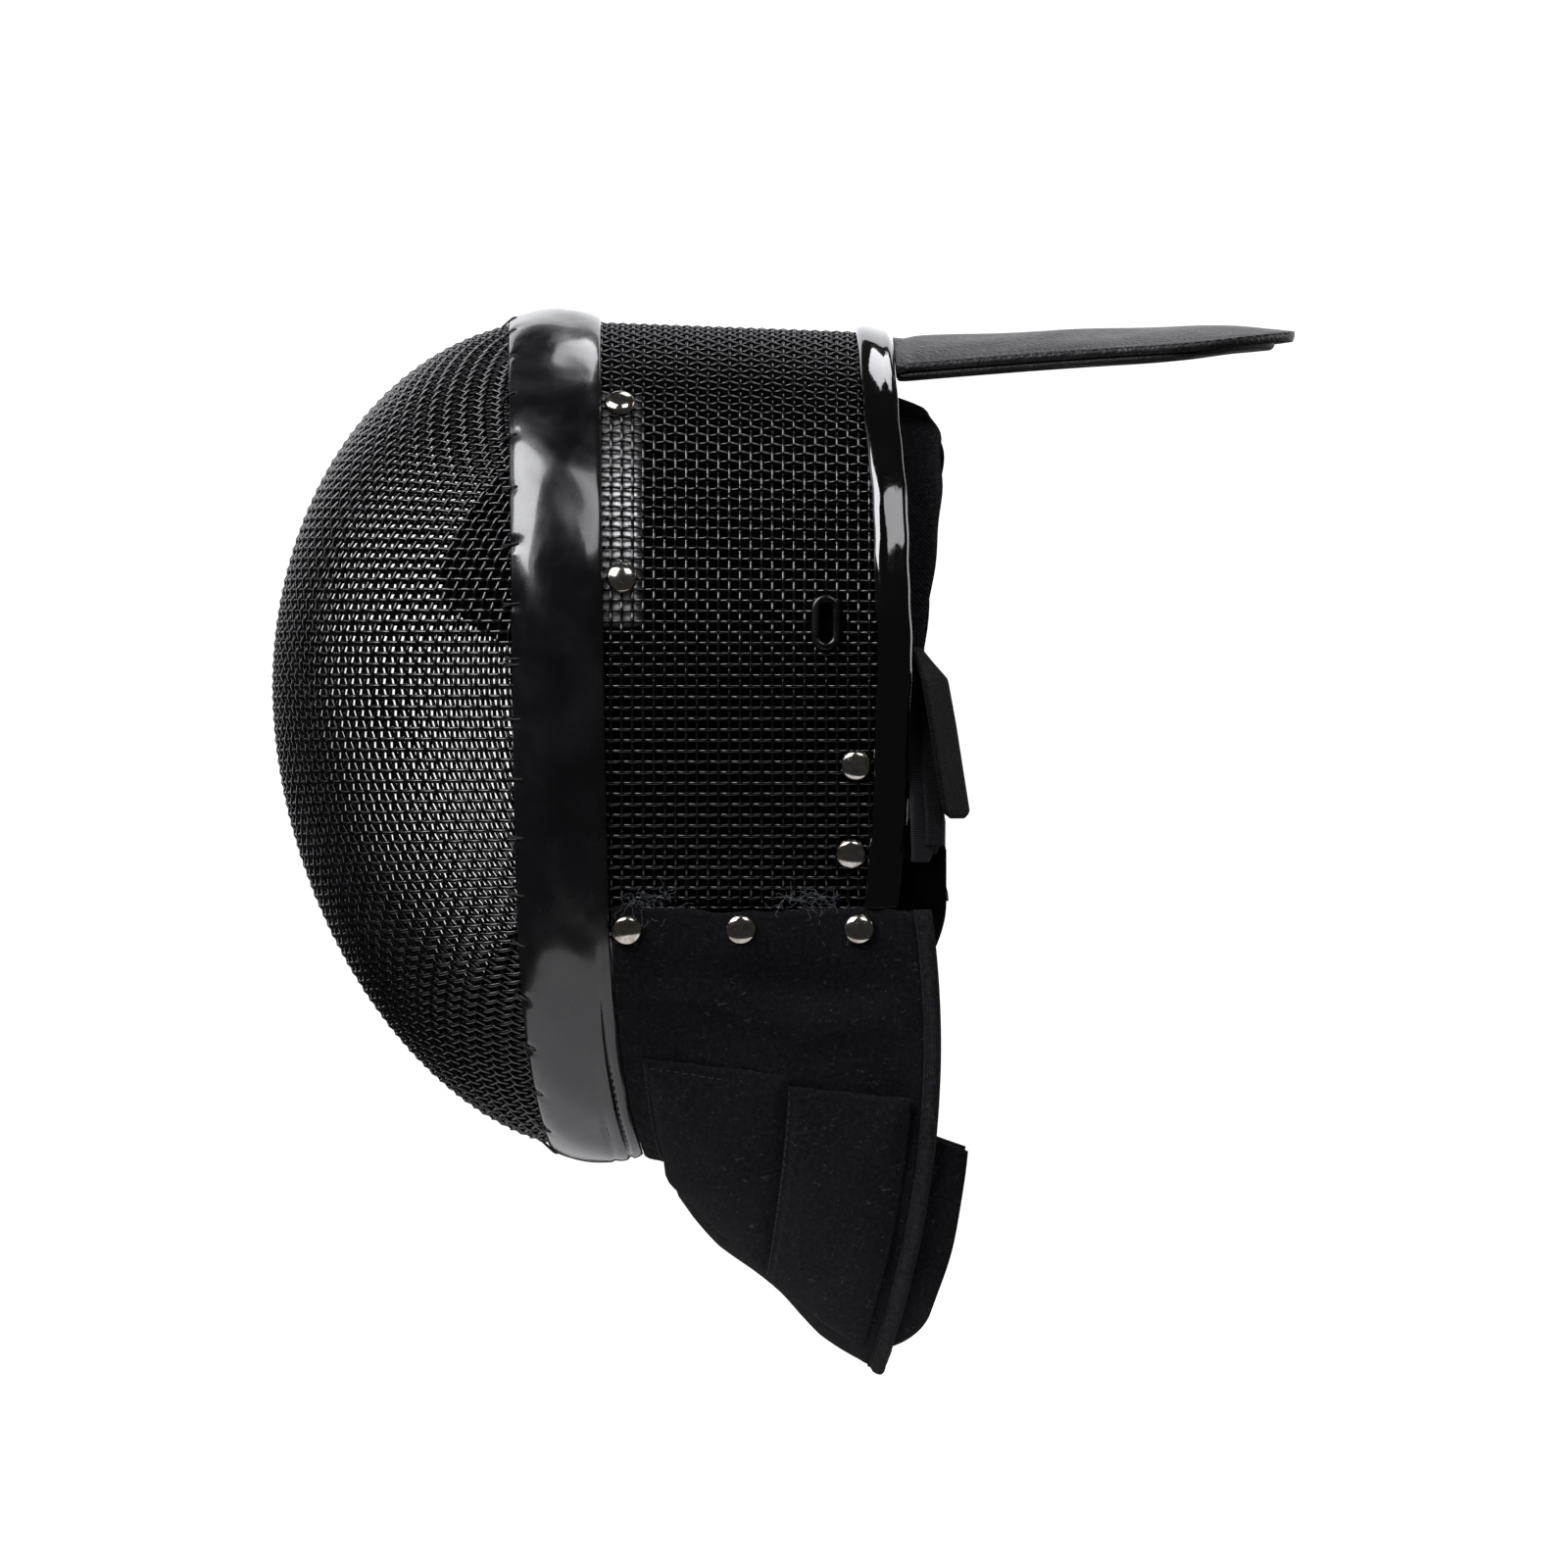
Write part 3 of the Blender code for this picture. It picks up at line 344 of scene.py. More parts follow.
def ring_line(down, lift):
    start = angle_at(BIB_TOP_Z)
    angle = start + (math.pi - start) * down
    z = arch(angle)[1]
    y = RING_Y + ring_shift(z) + FRONT_TRIM_WIDTH / 2 + 2 * GAP
    return side_point(angle, y, -BIB_LAYER - lift)


def hem_line(down):
    turn = down * math.pi / 2
    top = ring_line(0.0, 0.0)
    share = math.sin(turn) ** (2 / BIB_POWER)
    z = top.z - (BIB_TIP_DROP - BIB_TOP_DROP) * share
    reach = BIB_LENGTH + (BIB_TIP_LENGTH - BIB_LENGTH) * share + 4 * BIB_BULGE * share * (1 - share)
    return Vector((top.x * math.cos(turn) ** (2 / BIB_POWER), top.y + reach, z))


def bib_middle(along, down):
    point = ring_line(down, 0.0).lerp(hem_line(down), along)
    sag = BIB_SAG * float(np.interp(along, BIB_CENTRE[:, 0], BIB_CENTRE[:, 1])) * down**2
    return point - Vector((0.0, 0.5, 0.87)) * sag


def bib_normal(along, down):
    small = 0.02
    a0, a1 = max(0.0, along - small), along + small
    d0, d1 = max(0.0, down - small), min(1.0, down + small)
    length = bib_middle(a1, down) - bib_middle(a0, down)
    fall = bib_middle(along, d1) - bib_middle(along, d0)
    if down > 1.0 - small:
        fall = Vector((-1.0, 0.0, 0.0))
    return fall.cross(length).normalized()


def bib_point(along, down, lift=0.0):
    return bib_middle(along, down) + bib_normal(along, down) * lift


def down_at(along, z):
    low, high = 0.0, 1.0
    for _ in range(24):
        middle = (low + high) / 2
        low, high = (middle, high) if bib_middle(along, middle).z > z else (low, middle)
    return low


def crown_strap_turn(z):
    rise = -CROWN_STRAP_TOP - CROWN_STRAP_FOOT_Z
    return math.acos(max(0.0, min(1.0, (z - CROWN_STRAP_FOOT_Z) / rise)))


def crown_strap_station(turn):
    rise = -CROWN_STRAP_TOP - CROWN_STRAP_FOOT_Z
    rear = lip_y(CENTRE_Z) + REAR_TRIM_WIDTH * 0.90
    share = abs(turn) / (math.pi / 2)
    middle = Vector((
        CROWN_STRAP_HALF_WIDTH * math.sin(turn),
        rear - CROWN_STRAP_SWEEP * share**2,
        CROWN_STRAP_FOOT_Z + rise * math.cos(turn),
    ))
    return middle, Vector((0.0, 1.0, -CROWN_STRAP_TILT * (1.0 - share)))


def back_strap_middle(turn):
    side_z = TAB_TOP_Z - TAB_HEIGHT * 0.62
    depth = TAB_LAYER + TAB_THICK / 2 + 4 * GAP + STRAP_THICK * 2
    start = side_point(angle_at(side_z), lip_y(side_z) + REAR_TRIM_WIDTH * 0.75, depth)
    bow = max(0.0, math.cos(turn)) ** 0.8
    sag = BACK_STRAP_SAG * math.cos(turn)
    return Vector((start.x * math.sin(turn), start.y + BACK_STRAP_REACH * bow, start.z - sag))


def steps(start, end, count):
    return [start + (end - start) * i / count for i in range(count + 1)]


# Materials

class Look:
    """A material whose colour, roughness and bump come from its own nodes."""

    def __init__(self, name, colour, roughness, metallic=0.0, uv=False, **more):
        self.made = bpy.data.materials.new(name)
        self.made.use_nodes = True
        self.tree = self.made.node_tree
        self.shader = self.tree.nodes["Principled BSDF"]
        self.set("Base Color", (*colour, 1.0))
        self.set("Roughness", roughness)
        self.set("Metallic", metallic)
        for socket, value in more.items():
            self.set(socket.replace("_", " "), value)
        coords = self.tree.nodes.new("ShaderNodeTexCoord")
        self.where = coords.outputs["UV" if uv else "Object"]

    def set(self, socket, value):
        self.shader.inputs[socket].default_value = value

    def link(self, a, b):
        self.tree.links.new(a, b)

    def node(self, kind, **inputs):
        made = self.tree.nodes.new(kind)
        for key, value in inputs.items():
            socket = made.inputs[key.replace("_", " ")]
            if isinstance(value, bpy.types.NodeSocket):
                self.link(value, socket)
            else:
                socket.default_value = value
        return made

    def scaled(self, x, y, z, turn=0.0):
        """The coordinates times three numbers, after a turn about Z in degrees."""
        made = self.node("ShaderNodeMapping", Vector=self.where, Scale=(x, y, z))
        made.inputs["Rotation"].default_value = (0.0, 0.0, math.radians(turn))
        return made.outputs["Vector"]

    def noise(self, vector, scale=1.0, detail=2.0, roughness=0.5, distortion=0.0):
        made = self.node(
            "ShaderNodeTexNoise",
            Vector=vector,
            Scale=scale,
            Detail=detail,
            Roughness=roughness,
            Distortion=distortion,
        )
        return made.outputs["Fac"]

    def voronoi(self, vector, scale, feature="F1"):
        made = self.node("ShaderNodeTexVoronoi", Vector=vector, Scale=scale)
        made.feature = feature
        return made.outputs["Distance"]

    def wave(self, vector, scale, axis="X", distortion=0.0, profile="SIN"):
        made = self.node("ShaderNodeTexWave", Vector=vector, Scale=scale, Distortion=distortion)
        made.bands_direction = axis
        made.wave_profile = profile
        return made.outputs["Fac"]

    def spread(self, value, low, high, out_low=0.0, out_high=1.0):
        made = self.node("ShaderNodeMapRange", Value=value)
        for key, number in (
            ("From Min", low), ("From Max", high), ("To Min", out_low), ("To Max", out_high)
        ):
            made.inputs[key].default_value = number
        return made.outputs["Result"]

    def math(self, kind, a, b):
        made = self.tree.nodes.new("ShaderNodeMath")
        made.operation = kind
        for socket, value in zip(made.inputs, (a, b)):
            if isinstance(value, bpy.types.NodeSocket):
                self.link(value, socket)
            else:
                socket.default_value = value
        return made.outputs["Value"]

    def mix(self, factor, a, b):
        """A colour between two, by a factor."""
        made = self.tree.nodes.new("ShaderNodeMix")
        made.data_type = "RGBA"
        self.link(factor, made.inputs["Factor"])
        colours = [s for s in made.inputs if s.type == "RGBA"]
        for socket, value in zip(colours, (a, b)):
            if isinstance(value, bpy.types.NodeSocket):
                self.link(value, socket)
            else:
                socket.default_value = (*value, 1.0)
        return [s for s in made.outputs if s.type == "RGBA"][0]

    def bump(self, height, distance, strength=1.0, below=None):
        made = self.node("ShaderNodeBump", Height=height, Distance=distance, Strength=strength)
        if below is not None:
            self.link(below, made.inputs["Normal"])
        return made.outputs["Normal"]

    def colour(self, value):
        self.link(value, self.shader.inputs["Base Color"])

    def rough(self, value):
        self.link(value, self.shader.inputs["Roughness"])

    def normal(self, value):
        self.link(value, self.shader.inputs["Normal"])


def wire_look():
    look = Look("wire_paint", (0.004, 0.004, 0.005), 0.2, Specular_IOR_Level=0.70)
    drift = look.noise(look.scaled(90, 90, 90), detail=3)
    fine = look.noise(look.scaled(1400, 1400, 1400), detail=2)
    look.colour(look.mix(look.spread(drift, 0.35, 0.7), (0.0015, 0.0015, 0.0019), (0.0050, 0.0048, 0.0058)))
    look.rough(look.spread(drift, 0.3, 0.7, 0.13, 0.22))
    look.normal(look.bump(fine, 0.00008, 0.5))
    return look.made


def vinyl_look():
    look = Look(
        "trim_vinyl",
        (0.005, 0.005, 0.006),
        0.2,
        Specular_IOR_Level=0.5,
        Coat_Weight=0.9,
        Coat_Roughness=0.10,
    )
    blotch = look.noise(look.scaled(46, 40, 34), detail=4, roughness=0.55, distortion=0.6)
    smear = look.noise(look.scaled(120, 110, 60), detail=5, roughness=0.6)
    dents = look.noise(look.scaled(70, 60, 36), detail=2, distortion=0.3)
    grain = look.noise(look.scaled(2300, 2300, 2300), detail=1)
    look.colour(
        look.mix(look.spread(blotch, 0.4, 0.72), (0.0028, 0.0027, 0.0036), (0.0085, 0.0082, 0.0105))
    )
    look.rough(
        look.math(
            "ADD", look.spread(blotch, 0.42, 0.68, 0.16, 0.30), look.spread(smear, 0.45, 0.8, 0.0, 0.12)
        )
    )
    low = look.bump(dents, 0.0011, 0.55)
    look.normal(look.bump(grain, 0.00004, 0.35, below=low))
    return look.made


def channel_look():
    look = Look(
        "channel_gloss",
        (0.006, 0.006, 0.007),
        0.08,
        Specular_IOR_Level=0.6,
        Coat_Weight=1.0,
        Coat_Roughness=0.04,
    )
    drift = look.noise(look.scaled(60, 60, 60), detail=3)
    scratch = look.noise(look.scaled(900, 160, 160), detail=2)
    look.colour(look.mix(look.spread(drift, 0.4, 0.7), (0.0005, 0.0005, 0.0007), (0.0013, 0.0012, 0.0016)))
    look.rough(
        look.math(
            "ADD", look.spread(drift, 0.35, 0.7, 0.05, 0.12), look.spread(scratch, 0.62, 0.72, 0.0, 0.08)
        )
    )
    look.normal(look.bump(drift, 0.0012, 0.3))
    return look.made


def cloth_look(
    name, dark, light, cells=1500.0, twill=True, depth=0.00022, lint=0.5, rough=0.92, sheen=0.03, turn=0.0
):
    """Woven cloth on a piece whose UV is in metres: fine threads, fading and lint."""
    look = Look(
        name, dark, rough, uv=True, Sheen_Weight=sheen, Sheen_Roughness=0.45, Specular_IOR_Level=0.10
    )
    plane = look.scaled(1, 1, 1, turn)
    across = look.wave(plane, cells / FULL_TURN, "DIAGONAL" if twill else "X", distortion=0.4)
    along = look.wave(plane, cells / FULL_TURN * (0.45 if twill else 1.0), "Y", distortion=0.3)
    weave = look.math("MULTIPLY", across, look.spread(along, 0.0, 1.0, 0.45, 1.0))
    drift = look.noise(look.scaled(38, 38, 38), detail=4)
    fuzz = look.noise(look.scaled(2600, 2600, 2600), detail=2)
    fluff = look.noise(look.scaled(700, 420, 420), detail=3, distortion=1.2)
    base = look.mix(look.spread(weave, 0.1, 0.9), dark, light)
    worn = look.mix(look.spread(drift, 0.35, 0.75, 0.0, 0.5), base, tuple(c * 1.7 for c in light))
    grain = look.noise(look.scaled(620, 620, 620), detail=4, roughness=0.75)
    worn = look.mix(look.spread(grain, 0.42, 0.68, 0.0, 0.9), worn, tuple(c * 2.3 for c in light))
    look.colour(look.mix(look.spread(fluff, 0.64, 0.72, 0.0, lint), worn, (0.060, 0.058, 0.068)))
    look.rough(look.spread(fuzz, 0.3, 0.7, rough - 0.08, min(1.0, rough + 0.06)))
    low = look.bump(weave, depth, 0.8)
    look.normal(look.bump(fuzz, 0.00010, 0.5, below=low))
    return look.made


def rib_look(name, dark, light, ribs=900.0, axis="Y", depth=0.0003, rough=0.85):
    """Ribbed elastic or webbing: cords across the strap with finer threads along it."""
    look = Look(name, dark, rough, uv=True, Sheen_Weight=0.03, Sheen_Roughness=0.4, Specular_IOR_Level=0.12)
    ribs_out = look.wave(look.scaled(1, 1, 1), ribs / FULL_TURN, axis, distortion=0.15)
    threads = look.wave(
        look.scaled(1, 1, 1), ribs * 1.7 / FULL_TURN, "X" if axis == "Y" else "Y", distortion=0.3
    )
    weave = look.math("MULTIPLY", ribs_out, look.spread(threads, 0, 1, 0.6, 1.0))
    drift = look.noise(look.scaled(60, 60, 60), detail=3)
    base = look.mix(look.spread(weave, 0.1, 0.9), dark, light)
    look.colour(look.mix(look.spread(drift, 0.4, 0.8, 0.0, 0.45), base, tuple(c * 1.6 for c in light)))
    look.rough(look.spread(drift, 0.3, 0.7, rough - 0.1, rough + 0.08))
    look.normal(look.bump(weave, depth, 0.9))
    return look.made


def hook_look():
    look = Look(
        "hook_tape",
        (0.005, 0.005, 0.006),
        0.9,
        uv=True,
        Sheen_Weight=0.05,
        Sheen_Roughness=0.5,
        Specular_IOR_Level=0.12,
    )
    cells = look.voronoi(look.scaled(1, 1, 1), 1400)
    fuzz = look.noise(look.scaled(1800, 1800, 1800), detail=3)
    look.colour(look.mix(look.spread(cells, 0.1, 0.6), (0.0085, 0.0085, 0.0098), (0.0014, 0.0014, 0.0018)))
    look.rough(look.spread(fuzz, 0.3, 0.7, 0.8, 1.0))
    low = look.bump(cells, 0.0006, 0.8)
    look.normal(look.bump(fuzz, 0.0002, 0.6, below=low))
    return look.made


def leather_look(name, dark, light, rough=0.42, grain=1500):
    look = Look(name, dark, rough, Specular_IOR_Level=0.5, Coat_Weight=0.08, Coat_Roughness=0.3)
    pebble = look.voronoi(look.scaled(1, 1, 1), grain)
    crack = look.noise(look.scaled(1, 1, 1), scale=grain * 0.55, detail=4, distortion=0.8)
    wear = look.noise(look.scaled(1, 1, 1), scale=70, detail=5, roughness=0.6)
    height = look.math("ADD", look.spread(pebble, 0.0, 0.75, 0.0, 0.8), look.math("MULTIPLY", crack, 0.5))
    look.colour(look.mix(look.spread(wear, 0.38, 0.72), dark, light))
    look.rough(
        look.math(
            "ADD",
            look.spread(wear, 0.3, 0.75, rough - 0.06, rough + 0.1),
            look.spread(crack, 0.3, 0.7, 0.0, 0.08),
        )
    )
    low = look.bump(wear, 0.0009, 0.25)
    look.normal(look.bump(height, 0.00034, 0.8, below=low))
    return look.made


def foam_look(name, dark, light):
    look = Look(name, dark, 0.95, Sheen_Weight=0.03, Sheen_Roughness=0.5, Specular_IOR_Level=0.08)
    knit = look.voronoi(look.scaled(1, 1, 1), 950)
    drift = look.noise(look.scaled(1, 1, 1), scale=60, detail=4)
    fuzz = look.noise(look.scaled(1, 1, 1), scale=1900, detail=2)
    look.colour(look.mix(look.spread(drift, 0.35, 0.7), dark, light))
    look.rough(look.spread(fuzz, 0.3, 0.7, 0.86, 1.0))
    low = look.bump(knit, 0.0004, 0.6)
    look.normal(look.bump(fuzz, 0.00015, 0.5, below=low))
    return look.made


def nickel_look():
    look = Look("rivet_nickel", (0.66, 0.60, 0.53), 0.14, metallic=1.0)
    tarnish = look.noise(look.scaled(1, 1, 1), scale=420, detail=4, distortion=0.5)
    scratch = look.noise(look.scaled(2500, 500, 900), detail=2)
    look.colour(look.mix(look.spread(tarnish, 0.4, 0.75), (0.68, 0.64, 0.58), (0.36, 0.27, 0.20)))
    look.rough(
        look.math(
            "ADD", look.spread(tarnish, 0.35, 0.7, 0.08, 0.2), look.spread(scratch, 0.6, 0.75, 0.0, 0.12)
        )
    )
    look.normal(look.bump(tarnish, 0.00012, 0.25))
    return look.made


def steel_look():
    look = Look("plate_steel", (0.72, 0.72, 0.72), 0.32, metallic=1.0)
    brush = look.noise(look.scaled(700, 700, 9), scale=4.0, detail=4)
    spots = look.noise(look.scaled(1, 1, 1), scale=160, detail=4)
    look.colour(look.mix(look.spread(spots, 0.4, 0.75), (0.86, 0.85, 0.85), (0.60, 0.59, 0.57)))
    look.rough(look.spread(brush, 0.3, 0.7, 0.34, 0.50))
    look.normal(look.bump(brush, 0.00006, 0.35))
    return look.made


def plastic_look(name, dark, light, rough=0.3):
    look = Look(name, dark, rough, Specular_IOR_Level=0.5)
    drift = look.noise(look.scaled(1, 1, 1), scale=180, detail=3)
    grain = look.noise(look.scaled(1, 1, 1), scale=2600, detail=1)
    look.colour(look.mix(look.spread(drift, 0.35, 0.7), dark, light))
    look.rough(look.spread(drift, 0.3, 0.7, rough - 0.06, rough + 0.1))
    look.normal(look.bump(grain, 0.00005, 0.4))
    return look.made


def thread_look(name, colour):
    look = Look(name, colour, 0.6, Sheen_Weight=0.1, Specular_IOR_Level=0.4)
    ply = look.noise(look.scaled(1, 1, 1), scale=2400, detail=2)
    look.colour(look.mix(look.spread(ply, 0.35, 0.7), colour, tuple(c * 2.2 for c in colour)))
    look.normal(look.bump(ply, 0.0002, 0.6))
    return look.made


# Meshes

def finish_piece(name, mesh, look, replaced=(), smooth=True):
    obj = bpy.data.objects.new(name, mesh)
    bpy.context.scene.collection.objects.link(obj)
    mesh.materials.append(look)
    if smooth:
        mesh.shade_smooth()
    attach(obj, "root")
    if replaced:
        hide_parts(*replaced)
    return obj


def mesh_from(name, points, faces, uvs=None):
    """A mesh from arrays. uvs holds one pair a point."""
    mesh = bpy.data.meshes.new(name)
    mesh.from_pydata([tuple(p) for p in points], [], [tuple(f) for f in faces])
    if uvs is not None:
        layer = mesh.uv_layers.new(name="UVMap")
        index = np.empty(len(mesh.loops), np.int32)
        mesh.loops.foreach_get("vertex_index", index)
        layer.data.foreach_set("uv", np.asarray(uvs, np.float32)[index].ravel())
    mesh.validate()
    mesh.update()
    return mesh


def grid_normals(grid):
    """Unit normals of a grid of points (rows, columns, 3)."""
    du = np.gradient(grid, axis=0)
    dv = np.gradient(grid, axis=1)
    normal = np.cross(du, dv)
    return normal / np.maximum(np.linalg.norm(normal, axis=2, keepdims=True), 1e-12)


def grid_uv(grid):
    """Lengths along the rows and the columns of a grid, in metres."""
    u = np.concatenate(
        [np.zeros((1, grid.shape[1])), np.cumsum(np.linalg.norm(np.diff(grid, axis=0), axis=2), axis=0)]
    )
    v = np.concatenate(
        [np.zeros((grid.shape[0], 1)), np.cumsum(np.linalg.norm(np.diff(grid, axis=1), axis=2), axis=1)],
        axis=1,
    )
    return np.stack([v, u], axis=2)


def quads_of(rows, columns, start=0, flip=False, wrap_rows=False, wrap_columns=False):
    r = np.arange(rows if wrap_rows else rows - 1)
    c = np.arange(columns if wrap_columns else columns - 1)
    rr, cc = np.meshgrid(r, c, indexing="ij")
    a = rr * columns + cc
    b = rr * columns + (cc + 1) % columns
    d = ((rr + 1) % rows) * columns + cc
    e = ((rr + 1) % rows) * columns + (cc + 1) % columns
    faces = np.stack([a, b, e, d] if not flip else [a, d, e, b], axis=-1).reshape(-1, 4)
    return faces + start


def capped_faces(rows, columns):
    """Faces of a row of closed sections, with a flat cap at both ends."""
    faces = [tuple(int(i) for i in f) for f in quads_of(rows, columns, wrap_columns=True)]
    return faces + [tuple(range(columns)), tuple(range(rows * columns - 1, (rows - 1) * columns - 1, -1))]


def ring_mesh(name, grid):
    """A mesh of closed sections that come back to the first."""
    rows, columns, _ = grid.shape
    return outward(
        mesh_from(name, grid.reshape(-1, 3), quads_of(rows, columns, wrap_rows=True, wrap_columns=True))
    )


def slab(name, grid, above, below, out_sign=1.0):
    """A closed slab on a grid: faces above and below it by arrays or numbers, joined round the rim."""
    rows, columns, _ = grid.shape
    normal = grid_normals(grid) * out_sign
    above = np.broadcast_to(above, (rows, columns))[..., None]
    below = np.broadcast_to(below, (rows, columns))[..., None]
    top = (grid + normal * above).reshape(-1, 3)
    foot = (grid - normal * below).reshape(-1, 3)
    uv = grid_uv(grid).reshape(-1, 2)
    count = rows * columns
    flip = out_sign < 0
    faces = [quads_of(rows, columns, 0, flip), quads_of(rows, columns, count, not flip)]
    index = np.arange(count).reshape(rows, columns)
    rim = np.concatenate([index[0, :], index[1:, -1], index[-1, -2::-1], index[-2:0:-1, 0]])
    near, far = rim, np.roll(rim, -1)
    side = np.stack([near, near + count, far + count, far], axis=1)
    faces.append(side[:, ::-1] if flip else side)
    mesh = mesh_from(name, np.concatenate([top, foot]), np.concatenate(faces), np.concatenate([uv, uv]))
    return outward(mesh)


def outward(mesh):
    bm = bmesh.new()
    bm.from_mesh(mesh)
    bmesh.ops.recalc_face_normals(bm, faces=bm.faces)
    bm.to_mesh(mesh)
    bm.free()
    return mesh


def tubes(name, lines, radius, sides=6):
    """One mesh of tubes of four or six sides along polylines given as (points, normals)."""
    points, faces, start = [], [], 0
    turn = np.arange(sides) * 2 * math.pi / sides
    for line, up in lines:
        line, up = np.asarray(line, float), np.asarray(up, float)
        tangent = np.gradient(line, axis=0)
        tangent /= np.maximum(np.linalg.norm(tangent, axis=1, keepdims=True), 1e-12)
        side = np.cross(tangent, up)
        side /= np.maximum(np.linalg.norm(side, axis=1, keepdims=True), 1e-12)
        top = np.cross(side, tangent)
        ring = (
            side[:, None, :] * np.cos(turn)[None, :, None]
            + top[:, None, :] * np.sin(turn)[None, :, None]
        )
        points.append((line[:, None, :] + ring * radius).reshape(-1, 3))
        faces.append(quads_of(len(line), sides, start, wrap_columns=True))
        first = np.arange(sides) + start
        last = first + (len(line) - 1) * sides
        for cap in ([0, 1, 2, 3], [0, 3, 4, 5])[:sides // 2 - 1]:
            faces += [first[None, cap], last[None, cap[::-1]]]
        start += len(line) * sides
    return mesh_from(name, np.concatenate(points), np.concatenate(faces))


def arc_angles(start, end, gap, at):
    """Angles from start to end whose points are evenly spaced, about gap apart."""
    fine = np.linspace(start, end, 2400)
    points = np.array([at(a) for a in fine])
    length = np.concatenate([[0.0], np.cumsum(np.linalg.norm(np.diff(points, axis=0), axis=1))])
    count = max(1, round(length[-1] / gap))
    return np.interp(np.linspace(0, length[-1], count + 1), length, fine)


# Woven wire

def weave_lines(nodes, normals, phase):
    """The polyline of one wire through its crossings, over and under in turn. Halfway points stay level."""
    line, up = [], []
    for i, (point, normal) in enumerate(zip(nodes, normals)):
        sign = 1.0 if (i + phase) % 2 == 0 else -1.0
        if i:
            middle = (nodes[i - 1] + point) / 2
            line.append(middle)
            up.append((normals[i - 1] + normal) / 2)
        line.append(point + normal * sign * WIRE_CRIMP)
        up.append(normal)
    return np.array(line), np.array(up)


def side_wires():
    """Wires of the arched wall: some run from ring to rear, the others over the arch."""
    end = angle_at(BIB_TOP_Z - MESH_UNDER_BIB * 0.8)
    angles = arc_angles(-end, end, ARCH_WIRE_PITCH, lambda a: np.array(arch(a)))
    columns = round(SIDE_MESH_REACH / WIRE_PITCH)
    grid = np.full((len(angles), columns + 1, 3), np.nan)
    normal = np.zeros_like(grid)
    for i, angle in enumerate(angles):
        z = arch(angle)[1]
        first = RING_Y + ring_shift(z) + 0.0006
        last = lip_y(z) + REAR_TRIM_WIDTH - 0.0032
        out = arch_normal(angle)
        for j in range(columns + 1):
            y = RING_Y + 0.0012 + j * WIRE_PITCH
            if first <= y <= last:
                grid[i, j] = side_point(angle, y)
                normal[i, j] = out
    along, over = [], []
    for i in range(len(angles)):
        keep = ~np.isnan(grid[i, :, 0])
        start = int(np.argmax(keep))
        line, up = weave_lines(grid[i][keep], normal[i][keep], i + start)
        along.append((line, up))
    for j in range(columns + 1):
        keep = ~np.isnan(grid[:, j, 0])
        run = np.flatnonzero(keep)
        if len(run) < 3:
            continue
        for part in np.split(run, np.flatnonzero(np.diff(run) > 1) + 1):
            if len(part) > 2:
                over.append(weave_lines(grid[part, j], normal[part, j], part[0] + j + 1))
    return clear_of_slots(along), clear_of_slots(over)


def clear_of_slots(lines):
    """The same wires, cut where they would cross the open slot inside a grommet."""
    kept = []
    for line, up in lines:
        across = line[:, 1] - SLOT_Y
        beyond = np.maximum(0.0, np.abs(line[:, 2] - SLOT_Z) - SLOT_STRAIGHT)
        outside = (np.hypot(across, beyond) > SLOT_CLEAR) | (np.abs(line[:, 0]) < 0.05)
        run = np.flatnonzero(outside)
        for part in np.split(run, np.flatnonzero(np.diff(run) > 1) + 1):
            if len(part) > 2:
                kept.append((line[part], up[part]))
    return kept


